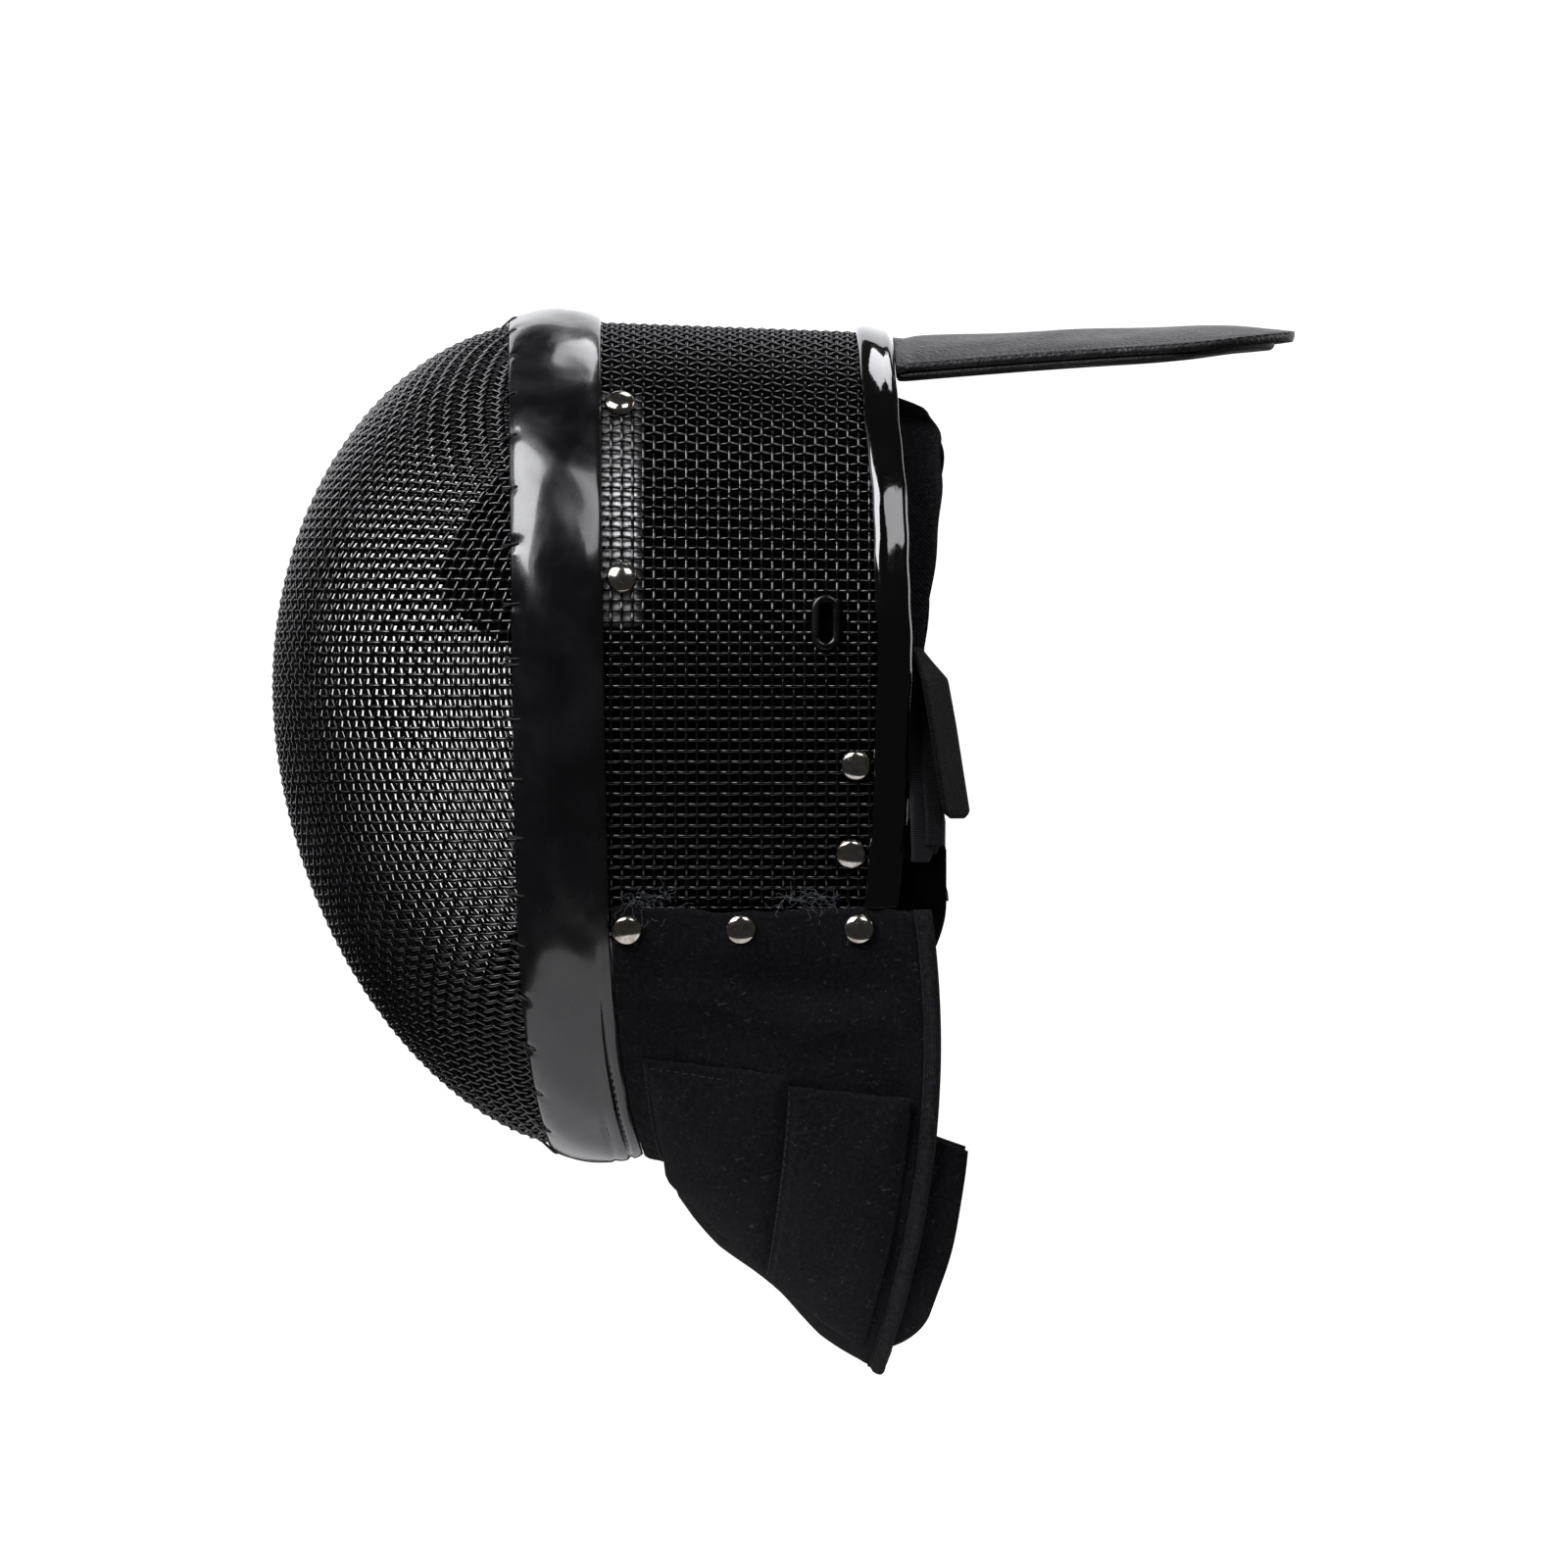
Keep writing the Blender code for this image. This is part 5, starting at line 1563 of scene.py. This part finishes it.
def make_tongue():
    """Leather top with a turned, sewn edge, over a padded lining."""
    grid = tongue_grid(TONGUE_THICK / 2, 0.0, 1.0)
    distance = edge_distance(grid)
    distance[0] = 1.0
    distance = np.minimum(distance, 0.02)
    half = TONGUE_THICK / 2
    round_off = np.sqrt(np.clip(1.0 - (1.0 - np.clip(distance / 0.0014, 0, 1)) ** 2, 0.02, 1))
    seam = 0.00045 * np.exp(-((distance - 0.0034) / 0.0007) ** 2)
    waves = ripple(grid, (0.047, 0.00025, (0.3, 1, 0), 0.2), (0.026, 0.00014, (1, 0.4, 0), 1.1))
    above = half * round_off - seam + waves * np.clip(distance / 0.01, 0, 1)
    below = half * round_off
    centre = (0.0, 0.08, -0.30)
    obj = finish_piece(
        "tongue_leather",
        lay_slab("tongue_leather", grid, above, below, centre),
        leather,
        ["tongue"],
    )
    lining_grid = tongue_grid(
        TONGUE_THICK + GAP + TONGUE_LINING_THICK / 2, 0.0010, TONGUE_LINING_SHARE, 34, 22
    )
    distance = edge_distance(lining_grid)
    fat = TONGUE_LINING_THICK * np.clip(distance / 0.004, 0.12, 1.0) ** 0.5
    mesh = lay_slab("tongue_pad", lining_grid, TONGUE_LINING_THICK / 2, fat * 0.9, centre)
    pad = finish_piece("tongue_pad", mesh, tongue_cloth, ["tongue_lining"])
    inflate(pad, rim_of(*lining_grid.shape[:2]), *TONGUE_SWELL)
    soften(pad)
    out = grid_out(grid, centre)
    for side, column in (("left", 2), ("right", -3)):
        line = grid[1:-3, column] + out[1:-3, column] * (half - 0.0003)
        stitches(f"tongue_stitches_{side}", line, out[1:-3, column], *TONGUE_STITCH, thread, "leather")


# Liner, pads and plates

def liner_rear(z, notch_size):
    notch = 1.0 / (1.0 + math.exp((z - TAB_TOP_Z - 5 * NOTCH_BLEND) / NOTCH_BLEND))
    return lip_y(z) - LINER_INSET - notch_size * notch


def make_liner():
    end = angle_at(CENTRE_Z - LINER_DROP)
    angles = arc_angles(-end, end, LINER_STEP, lambda a: np.array(arch(a)))
    rows = []
    for share in steps(0.0, 1.0, 26):
        row = []
        for angle in angles:
            z = arch(angle)[1]
            start = RING_Y + ring_shift(z) + FRONT_TRIM_WIDTH / 6
            row.append(side_point(angle, start + (liner_rear(z, LINER_NOTCH) - start) * share, LINER_FACE))
        rows.append(row)
    grid = to_array(rows)
    distance = edge_distance(grid)
    uv = grid_uv(grid)
    fat = pillow(distance, 0.0022, LINER_THICK)
    phase = np.abs((uv[..., 1] / LINER_CHANNEL) % 1.0 - 0.5) * LINER_CHANNEL
    fat -= 0.0022 * np.exp(-(phase / 0.0016) ** 2) * np.clip(distance / 0.004, 0, 1)
    fat += ripple(grid, (0.031, 0.0002, (0.5, 1, 0.4), 0.4))
    mesh = lay_slab("crown_liner_pad", grid, 0.0001, np.maximum(fat, 0.0004), SHELL_INSIDE)
    pad = finish_piece("crown_liner_pad", mesh, foam, ["crown_liner"])
    # A near-black sheet just inside the wire, reaching past the liner at the ring, the rear edge and below it: painted
    # shade standing in for the dark inside of the mask
    end = angle_at(CENTRE_Z - LINER_DROP - 0.009)
    rows = []
    for share in steps(0.0, 1.0, 12):
        row = []
        for angle in arc_angles(-end, end, BACKING_STEP, lambda a: np.array(arch(a))):
            z = arch(angle)[1]
            start = RING_Y + ring_shift(z) + 0.003
            row.append(side_point(angle, start + (lip_y(z) + 0.001 - start) * share, HALF_WALL + 0.00105))
        rows.append(row)
    grid = to_array(rows)
    shade_sheet = finish_piece(
        "crown_liner_shade_sheet",
        lay_slab("crown_liner_shade_sheet", grid, 0.00025, 0.00025, SHELL_INSIDE),
        dark_lining_and_shade,
    )


def make_pads():
    hidden = FRONT_TRIM_WIDTH * 0.35
    edge = RING_Y + ring_shift(CENTRE_Z) - FRONT_TRIM_WIDTH / 2
    rows = []
    for down in steps(0.0, 1.0, 30):
        reach = float(np.interp(down, TEMPLE_PAD_FORM[:, 0], TEMPLE_PAD_FORM[:, 1]))
        z = CENTRE_Z + TEMPLE_PAD_RISE - TEMPLE_PAD_HEIGHT * down
        rows.append(
            [
                dome_at(y, z, HALF_WALL + 0.0005)
                for y in steps(edge + hidden, edge - TEMPLE_PAD_REACH * reach, 16)
            ]
        )
    grid = to_array(rows)
    centre = (0.0, RING_Y + 0.02, POLE_Z)
    for side, shape in (("left", grid), ("right", on_right(grid))):
        distance = edge_distance(shape)
        mesh = lay_slab(
            f"temple_pad_{side}_foam",
            shape,
            0.0001,
            0.0004 + pillow(distance, 0.003, TEMPLE_PAD_THICK),
            centre,
        )
        pad = finish_piece(f"temple_pad_{side}_foam", mesh, foam, [f"temple_pad_{side}"])
        inflate(pad, rim_of(*shape.shape[:2]), *FOAM_SWELL)
        soften(pad)
    start = angle_at(CENTRE_Z - CHIN_PAD_DROP)
    rows = []
    for share in steps(0.0, 1.0, 16):
        row = []
        for angle in steps(start, math.pi, 34):
            swing = math.sin(math.pi / 2 * (angle - start) / (math.pi - start)) ** 0.7
            reach = hidden + (CHIN_PAD_REACH - hidden) * swing
            near = FRONT_TRIM_WIDTH / 10
            row.append(dome_point(angle, (near + (reach - near) * share) / DOME_DEPTH, HALF_WALL + 0.0005))
        rows.append(row)
    grid = both_sides(rows)
    distance = edge_distance(grid)
    fat = 0.0004 + pillow(distance, 0.0035, CHIN_PAD_THICK)
    mesh = lay_slab("chin_pad_foam", grid, 0.0001, fat, centre)
    pad = finish_piece("chin_pad_foam", mesh, foam, ["chin_pad"])
    inflate(pad, rim_of(*grid.shape[:2]), *FOAM_SWELL)
    soften(pad)


def make_plates():
    rows = []
    for across in steps(0.0, 1.0, 6):
        row = []
        for z in steps(CENTRE_Z + PLATE_RISE, CENTRE_Z + PLATE_RISE - PLATE_HEIGHT, 40):
            start = RING_Y + FRONT_TRIM_WIDTH / 3
            row.append(
                side_point(angle_at(z), start + PLATE_WIDTH * across, HALF_WALL + GAP + PLATE_THICK / 2)
            )
        rows.append(row)
    grid = to_array(rows)
    for side, shape in (("left", grid), ("right", on_right(grid))):
        distance = edge_distance(shape)
        thick = PLATE_THICK / 2 * np.clip(0.7 + distance / 0.002, 0, 1)
        mesh = lay_slab(f"mesh_plate_{side}_steel", shape, thick, thick, SHELL_INSIDE)
        finish_piece(f"mesh_plate_{side}_steel", mesh, steel, [f"mesh_plate_{side}"])


# Hardware

def lathe(profile, count):
    """A surface of revolution about Z through (radius, height) pairs, closed at both ends on the axis."""
    points, faces = [(0.0, 0.0, profile[0][1])], []
    for radius, height in profile[1:-1]:
        for i in range(count):
            turn = 2 * math.pi * i / count
            points.append((radius * math.cos(turn), radius * math.sin(turn), height))
    points.append((0.0, 0.0, profile[-1][1]))
    rings = len(profile) - 2
    for i in range(count):
        j = (i + 1) % count
        faces.append((0, 1 + i, 1 + j))
        for r in range(rings - 1):
            a = 1 + r * count
            faces.append((a + i, a + count + i, a + count + j, a + j))
        a = 1 + (rings - 1) * count
        faces.append((a + j, a + i, len(points) - 1))
    return points, faces


def placed(point, out, along=Vector((0.0, 0.0, 1.0))):
    z = out.normalized()
    y = z.cross(along).normalized()
    x = y.cross(z)
    matrix = Matrix((x, y, z)).transposed().to_4x4()
    matrix.translation = point
    return matrix


def rivet_places():
    places = []
    layer = HALF_WALL + GAP + PLATE_THICK
    for name, share in (("plate_upper", 0.065), ("plate_lower", 0.796)):
        z = CENTRE_Z + PLATE_RISE - PLATE_HEIGHT * share
        angle = angle_at(z)
        y = RING_Y + ring_shift(z) + FRONT_TRIM_WIDTH / 2 + 0.0058
        places.append(
            (name, side_point(angle, y, -HALF_WALL - GAP), arch_normal(angle), HALF_WALL + GAP + layer)
        )
    for name, share in (("anchor_upper", 0.124), ("anchor_lower", 0.873)):
        z = TAB_TOP_Z - TAB_HEIGHT * share
        angle = angle_at(z)
        y = lip_y(z) - 0.0057
        places.append(
            (
                name,
                side_point(angle, y, -HALF_WALL - GAP),
                arch_normal(angle),
                HALF_WALL + GAP + TAB_LAYER + TAB_THICK / 2,
            )
        )
    z = BIB_TOP_Z - 0.0068
    edge = ring_line(0.0, 0.0).y
    front, rear = edge + 0.0046, lip_y(z) - 0.0019
    for name, share in (("bib_front", 0.0), ("bib_middle", 0.49), ("bib_rear", 1.0)):
        along = (front + (rear - front) * share - edge) / BIB_LENGTH
        down = down_at(along, z)
        seat = bib_point(along, down, BIB_THICK / 2 + GAP)
        inner = side_point(angle_at(seat.z), seat.y, HALF_WALL + GAP)
        places.append((name, seat, bib_normal(along, down), (seat - inner).length + PLATE_THICK / 2))
    return places


def make_rivets():
    for name, seat, out, shank in rivet_places():
        dome = (
            [(0.0, 0.00245)]
            + [(RIVET_RADIUS * 0.97 * math.sin(t), 0.0004 + 0.00205 * math.cos(t)) for t in np.linspace(0.12, 1.52, 13)]
        )
        rim = [
            (RIVET_RADIUS, 0.00035),
            (RIVET_RADIUS, 0.0001),
            (RIVET_RADIUS - 0.0004, -0.00015),
            (0.0019, -0.0002),
            (0.0018, -shank),
        ]
        tail = [
            (0.0036, -shank),
            (0.0037, -shank - 0.0005),
            (0.0030, -shank - 0.0009),
            (0.0016, -shank - 0.0006),
            (0.0008, -shank - 0.0011),
            (0.0, -shank - 0.0011),
        ]
        points, faces = lathe(dome + rim + tail, 32)
        for side, sign in (("left", 1.0), ("right", -1.0)):
            flip = Vector((sign, 1.0, 1.0))
            node = f"rivet_{name}_{side}"
            mesh = mesh_from(node + "_head", points, faces)
            mesh.transform(placed(seat * flip, out * flip))
            finish_piece(node + "_head", outward(mesh), nickel, [node])
            mesh.set_sharp_from_angle(angle=math.radians(50))


def oblong(length, width, height, matrix, count=12):
    radius = width / 2
    straight = length / 2 - radius
    loop = []
    for end in (1.0, -1.0):
        for turn in steps(-math.pi / 2, math.pi / 2, count):
            loop.append(
                matrix @ Vector(
                    (end * (straight + radius * math.cos(turn)), end * radius * math.sin(turn), height)
                )
            )
    return loop


def make_grommets():
    rim = GROMMET_RIM
    z = CENTRE_Z + GROMMET_LENGTH * 0.6
    angle = angle_at(z)
    y = lip_y(z) - GROMMET_LENGTH * 0.9
    for side, sign in (("left", 1.0), ("right", -1.0)):
        flip = Vector((sign, 1.0, 1.0))
        matrix = placed(side_point(angle, y, -HALF_WALL - GAP) * flip, arch_normal(angle) * flip)
        border = GROMMET_WIDTH - GROMMET_SLOT
        foot = -(2 * HALF_WALL + 2 * GAP)
        profile = [(0.0, 0.0), (0.0, rim * 0.55)]
        profile += [
            (-border * (0.5 - 0.5 * math.cos(t)), rim * 0.55 + rim * 0.5 * math.sin(t))
            for t in np.linspace(0.25, 2.9, 8)
        ]
        profile += [
            (-border, rim * 0.3), (-border, foot), (-border + 0.0020, foot), (-border + 0.0020, 0.0)
        ]
        thinner = GROMMET_LENGTH - GROMMET_WIDTH
        sections = [
            oblong(GROMMET_LENGTH + grow, GROMMET_LENGTH + grow - thinner, height, matrix)
            for grow, height in profile
        ]
        mesh = ring_mesh(f"slot_grommet_{side}_ring", to_array(sections))
        finish_piece(f"slot_grommet_{side}_ring", mesh, plastic, [f"slot_grommet_{side}"])


# Harness

def strap_piece(name, grid, thickness, look, centre, replaced=()):
    half = thickness / 2 * (0.55 + 0.45 * np.clip(edge_distance(grid) / 0.0012, 0, 1))
    return finish_piece(name, lay_slab(name, grid, half, half, centre), look, replaced)


def make_harness():
    centre = (0.0, 0.0, -0.10)
    rows = []
    for z in steps(TAB_TOP_Z, TAB_TOP_Z - TAB_HEIGHT, 16):
        rear = lip_y(z) + REAR_TRIM_WIDTH
        rows.append([side_point(angle_at(z), y, TAB_LAYER) for y in steps(rear - TAB_LENGTH, rear, 10)])
    grid = to_array(rows)
    for side, shape in (("left", grid), ("right", on_right(grid))):
        strap_piece(
            f"anchor_tab_{side}_webbing",
            shape,
            TAB_THICK,
            webbing,
            centre,
            [f"anchor_tab_{side}"],
        )

    end_z = TAB_TOP_Z - TAB_HEIGHT * 0.45
    rear = lip_y(end_z) + REAR_TRIM_WIDTH * 0.35
    foot = side_point(angle_at(end_z), rear, TAB_LAYER + TAB_THICK / 2 + GAP + STRAP_THICK / 2)
    stations = [(foot, Vector((0.0, 1.0, 0.0)))]
    for turn in steps(math.pi / 2, -math.pi / 2, 84):
        middle, across = crown_strap_station(turn)
        sway = 0.0006 * math.sin(turn * 9.0 + 0.7) + 0.0004 * math.sin(turn * 21.0)
        stations.append((middle + Vector((0.0, sway, 0.0)), across))
    stations.append((Vector((-foot.x, foot.y, foot.z)), Vector((0.0, 1.0, 0.0))))
    strap = ribbon_grid(stations, STRAP_WIDTH, 11)
    height = strap[:, 5, 2] - CROWN_STRAP_FOOT_Z
    rise = height.max()
    fold = np.clip((height - rise + 0.014) / 0.014, 0.0, 1.0) ** 2.2
    rear_share = np.linspace(0.0, 1.0, 11)[None, :] ** 2
    strap[..., 1] -= 0.0075 * fold[:, None] * rear_share
    strap[..., 1] -= 0.0022 * rear_share * np.clip(1.0 - height / 0.055, 0.0, 1.0)[:, None]
    strap_piece("crown_strap_webbing", strap, STRAP_THICK, webbing, centre, ["crown_strap"])

    turns = steps(-math.pi / 2, math.pi / 2, 90)
    stations = []
    for turn in turns:
        tip = 0.25 * math.cos(turn)
        stations.append((back_strap_middle(turn), Vector((0.0, -tip, 1.0))))
    strap_piece(
        "back_strap_elastic",
        ribbon_grid(stations, STRAP_WIDTH, 11),
        STRAP_THICK,
        elastic,
        centre,
        ["back_strap"],
    )

    start, _ = crown_strap_station(math.radians(66))
    lift = STRAP_THICK / 2 + STRAP_END_THICK / 2 + 2 * GAP
    stations, spread = [], []
    heights, places, widths = (np.array(column) for column in zip(*STRAP_END_ROWS))
    for z in steps(heights[0], heights[-1], 44):
        share = (start.z - z) / STRAP_END_LENGTH
        x = crown_strap_station(crown_strap_turn(z))[0].x + lift + STRAP_END_OUT * share + 0.0030
        twist = math.radians(STRAP_END_TWIST)
        y = float(np.interp(-z, -heights, places))
        stations.append((Vector((x, y, z)), Vector((-math.sin(twist), math.cos(twist), 0.0))))
        spread.append(float(np.interp(-z, -heights, widths)))
    band = ribbon_grid(stations, STRAP_END_WIDTH * 1.08, 11)
    middle = band[:, 5:6].copy()
    place = np.linspace(0.0, 1.0, len(band))[:, None, None]
    rounded = np.sqrt(np.clip(1.0 - ((place - 0.95) / 0.05).clip(0, 1) ** 2, 0.25, 1))
    band = middle + (band - middle) * rounded * np.array(spread)[:, None, None]
    strap_piece("strap_end_hook", band, STRAP_END_THICK, hook, centre, ["strap_end"])

    for side, sign in (("left", 1.0), ("right", -1.0)):
        root = back_strap_middle(math.pi / 2)
        for number, (front, back, low, out) in enumerate(LOOP_ROWS):
            path = [
                (root.x - 0.0010, front - 0.0030, -0.1010),
                (root.x + out * 0.5, front - 0.0006, -0.1090),
                (root.x + out, front + 0.0004, -0.1350),
                (root.x + out, front + 0.0012, low + 0.005),
                (root.x + out, (front + back) / 2, low),
                (root.x + out * 0.8, back, low + 0.005),
                (root.x + out * 0.3, back - 0.0010, -0.1330),
                (root.x - 0.0030, back - 0.0050, -0.1235),
            ]
            middles = smooth_path(path, 60)
            ways = [Vector((0.60, -0.80, 0.0))] * len(middles)
            grid = ribbon_grid(
                [
                    (Vector((sign * m.x, m.y, m.z)), Vector((sign * w.x, w.y, w.z)))
                    for m, w in zip(middles, ways)
                ],
                LOOP_WIDTH,
                7,
            )
            strap_piece(
                f"elastic_loop_{number}_{side}",
                grid,
                LOOP_THICK,
                elastic,
                (sign * (root.x + out), (front + back) / 2, -0.142),
            )
        rows = []
        for z in steps(LINING_TOP_Z, LINING_LOW_Z, 20):
            share = min(1.0, max(0.0, (LINING_TOP_Z - z) / 0.012))
            late = max(0.0, (-0.176 - z) / 0.0145)
            start = lip_y(z) - 0.012
            stop = lip_y(z) + 0.008 + (LINING_BACK_Y - lip_y(z) - 0.008) * share - 0.004 * late**2
            row = []
            for y in steps(start, stop, 12):
                wave = 0.0009 * math.sin(z * 300 + y * 90) * (y - start) / 0.03
                point = side_point(angle_at(z), y, 0.0058 + wave)
                row.append(Vector((sign * point.x, point.y, point.z)))
            rows.append(row)
        grid = to_array(rows)
        corner = strap_piece(f"lining_corner_{side}", grid, LINING_THICK, dark_lining_and_shade, centre)

    turn = math.asin(SLIDER_PLACE)
    middle = back_strap_middle(turn)
    along = back_strap_middle(turn + 0.05) - back_strap_middle(turn - 0.05)
    matrix = placed(middle, along)
    inner = (STRAP_WIDTH / 2 + 2 * GAP, STRAP_THICK / 2 + 3 * GAP)
    outer = (inner[0] + 0.0024, inner[1] + 0.0012)
    sections = []
    for (up, side), end in ((outer, -1), (outer, 1), (inner, 1), (inner, -1)):
        sections.append(oblong(2 * up, 2 * side, end * SLIDER_HALF_LENGTH, matrix, 6))
    mesh = ring_mesh("strap_slider_ring", to_array(sections))
    obj = finish_piece("strap_slider_ring", mesh, grey, ["strap_slider"])
    bevel = obj.modifiers.new("round", "BEVEL")
    bevel.width = 0.0005
    bevel.segments = 2


def make_lint():
    """Tufts of pale lint caught between the bib's top edge and the wire."""
    random.seed(LINT_SEED)
    made = []
    for first, last, count in LINT_PATCHES:
        for _ in range(count):
            y = random.uniform(first, last)
            z = (
                BIB_TOP_Z
                + random.uniform(-0.003, 0.0055) * (1 - abs(2 * (y - first) / (last - first) - 1) ** 3)
            )
            angle = angle_at(z)
            out = arch_normal(angle)
            point = side_point(angle, y, -random.uniform(0.0012, 0.0022))
            heading = random.uniform(0, 2 * math.pi)
            line = [point]
            for _ in range(8):
                heading += random.uniform(-0.9, 0.9)
                step = Vector((0.0, math.cos(heading), math.sin(heading))) * LINT_STEP
                line.append(line[-1] + step + out * random.uniform(-0.0002, 0.00025))
            points = np.array([tuple(p) for p in line])
            made.append((points, np.tile(np.array(out), (len(points), 1))))
    finish_piece("bib_lint", tubes("bib_lint", made, LINT_RADIUS, sides=4), lint)


make_wires()
vinyl = vinyl_look()
channel = channel_look()
canvas = cloth_look(
    "bib_canvas",
    (0.0009, 0.0008, 0.0012),
    (0.0060, 0.0053, 0.0072),
    cells=9000.0,
    depth=0.00035,
    lint=0.8,
    turn=35,
)
quilt = cloth_look(
    "quilt_canvas",
    (0.0011, 0.0010, 0.0014),
    (0.0064, 0.0057, 0.0077),
    cells=9000.0,
    depth=0.00035,
    lint=0.8,
    turn=35,
)
tape = cloth_look(
    "binding_tape",
    (0.0060, 0.0054, 0.0068),
    (0.0130, 0.0118, 0.0146),
    cells=7000.0,
    twill=False,
    depth=0.0003,
    lint=0.6,
)
leather = leather_look("tongue_leather_grain", (0.010, 0.0098, 0.0108), (0.022, 0.0215, 0.0232), grain=750)
tongue_cloth = leather_look(
    "tongue_lining_grain", (0.014, 0.0132, 0.0146), (0.030, 0.0285, 0.031), rough=0.5, grain=1900
)
webbing = cloth_look(
    "strap_twill", (0.0030, 0.0027, 0.0034), (0.0130, 0.0120, 0.0142), cells=2600.0, depth=0.0004, lint=0.4
)
elastic = rib_look("elastic_ribs", (0.0040, 0.0037, 0.0045), (0.0480, 0.0450, 0.0510), ribs=3600.0)
foam = foam_look("padding_knit", (0.0016, 0.0016, 0.0020), (0.0042, 0.0041, 0.0048))
# Near-black cloth: the lining corners' own colour, and painted shade on the sheet behind the liner
dark_lining_and_shade = foam_look("lining_cloth_and_painted_shade", (0.0004, 0.0004, 0.0005), (0.0012, 0.0012, 0.0014))
hook = hook_look()
nickel = nickel_look()
steel = steel_look()
plastic = plastic_look("grommet_plastic", (0.0025, 0.0025, 0.0030), (0.006, 0.006, 0.007), 0.2)
grey = plastic_look("slider_plastic", (0.06, 0.06, 0.063), (0.11, 0.11, 0.115), 0.35)
thread = thread_look("black_thread", (0.0030, 0.0030, 0.0034))
lint = thread_look("lint_fibre", (0.10, 0.11, 0.13))

make_front_trim()
make_rear_trim()
make_bib()
make_binding()
make_overlays()
make_inner_bib()
make_tongue()
make_liner()
make_pads()
make_plates()
make_rivets()
make_grommets()
make_harness()
make_lint()


# Floor, light and camera

def paint(name, colour, strength=0.0, rough=0.9):
    made = bpy.data.materials.new(name)
    made.use_nodes = True
    shader = made.node_tree.nodes["Principled BSDF"]
    shader.inputs["Base Color"].default_value = (*colour, 1.0)
    shader.inputs["Roughness"].default_value = rough
    shader.inputs["Emission Color"].default_value = (1.0, 1.0, 1.0, 1.0)
    shader.inputs["Emission Strength"].default_value = strength
    return made


def disc(name, radius, height, colour, strength):
    bpy.ops.mesh.primitive_circle_add(
        vertices=96, radius=radius, fill_type="NGON", location=(0.0, 0.0, height)
    )
    made = bpy.context.object
    made.name = name
    made.data.materials.append(paint(name + "_paint", colour, strength))
    return made


def camera_only(obj):
    obj.visible_diffuse = obj.visible_glossy = obj.visible_transmission = obj.visible_shadow = False


def make_stage():
    """A pale floor under the bib's tip. A white sheet on it and a white surround are seen by the camera alone."""
    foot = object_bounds()[0].z
    floor = disc("floor", FLOOR_RADIUS, foot - 0.0012, FLOOR_COLOUR, FLOOR_GLOW)
    sheet = disc("floor_white", WHITE_RADIUS, foot - 0.0006, (0.0, 0.0, 0.0), WHITE_GLOW)
    bpy.ops.mesh.primitive_uv_sphere_add(
        segments=48, ring_count=24, radius=SURROUND_RADIUS, location=(0.0, 0.0, 0.0)
    )
    surround = bpy.context.object
    surround.name = "surround"
    surround.data.materials.append(paint("surround_paint", (0.0, 0.0, 0.0), WHITE_GLOW))
    camera_only(sheet)
    camera_only(surround)


def add_light(name, place, size, power):
    light = bpy.data.lights.new(name, "AREA")
    light.shape = "RECTANGLE"
    light.size, light.size_y = size
    light.energy = power
    light.color = LIGHT_TINT
    obj = bpy.data.objects.new(name, light)
    bpy.context.scene.collection.objects.link(obj)
    obj.location = place
    obj.rotation_euler = (Vector(LIGHT_AIM) - Vector(place)).to_track_quat("-Z", "Y").to_euler()
    obj.visible_camera = False


def make_lights():
    for light in LIGHTS:
        add_light(*light)
    world = bpy.data.worlds.new("studio")
    bpy.context.scene.world = world
    world.use_nodes = True
    background = world.node_tree.nodes["Background"]
    background.inputs["Color"].default_value = (1.0, 1.0, 1.0, 1.0)
    background.inputs["Strength"].default_value = WORLD_GLOW


def make_camera():
    """The photograph's side view: image right is +Y, 0.31 mm a pixel over 1600 pixels, from far away."""
    camera = bpy.data.cameras.new("camera")
    camera.sensor_width = SENSOR
    camera.lens = SENSOR * CAMERA_FAR / FRAME_WIDTH
    camera.clip_start = 1.0
    camera.clip_end = 200.0
    obj = bpy.data.objects.new("camera", camera)
    bpy.context.scene.collection.objects.link(obj)
    obj.location = (CAMERA_FAR, *FRAME_CENTRE)
    obj.rotation_euler = (math.radians(90.0), 0.0, math.radians(90.0))
    bpy.context.scene.camera = obj


make_stage()
make_lights()
make_camera()
bpy.context.scene.view_settings.view_transform = "Standard"
bpy.context.scene.view_settings.look = "None"
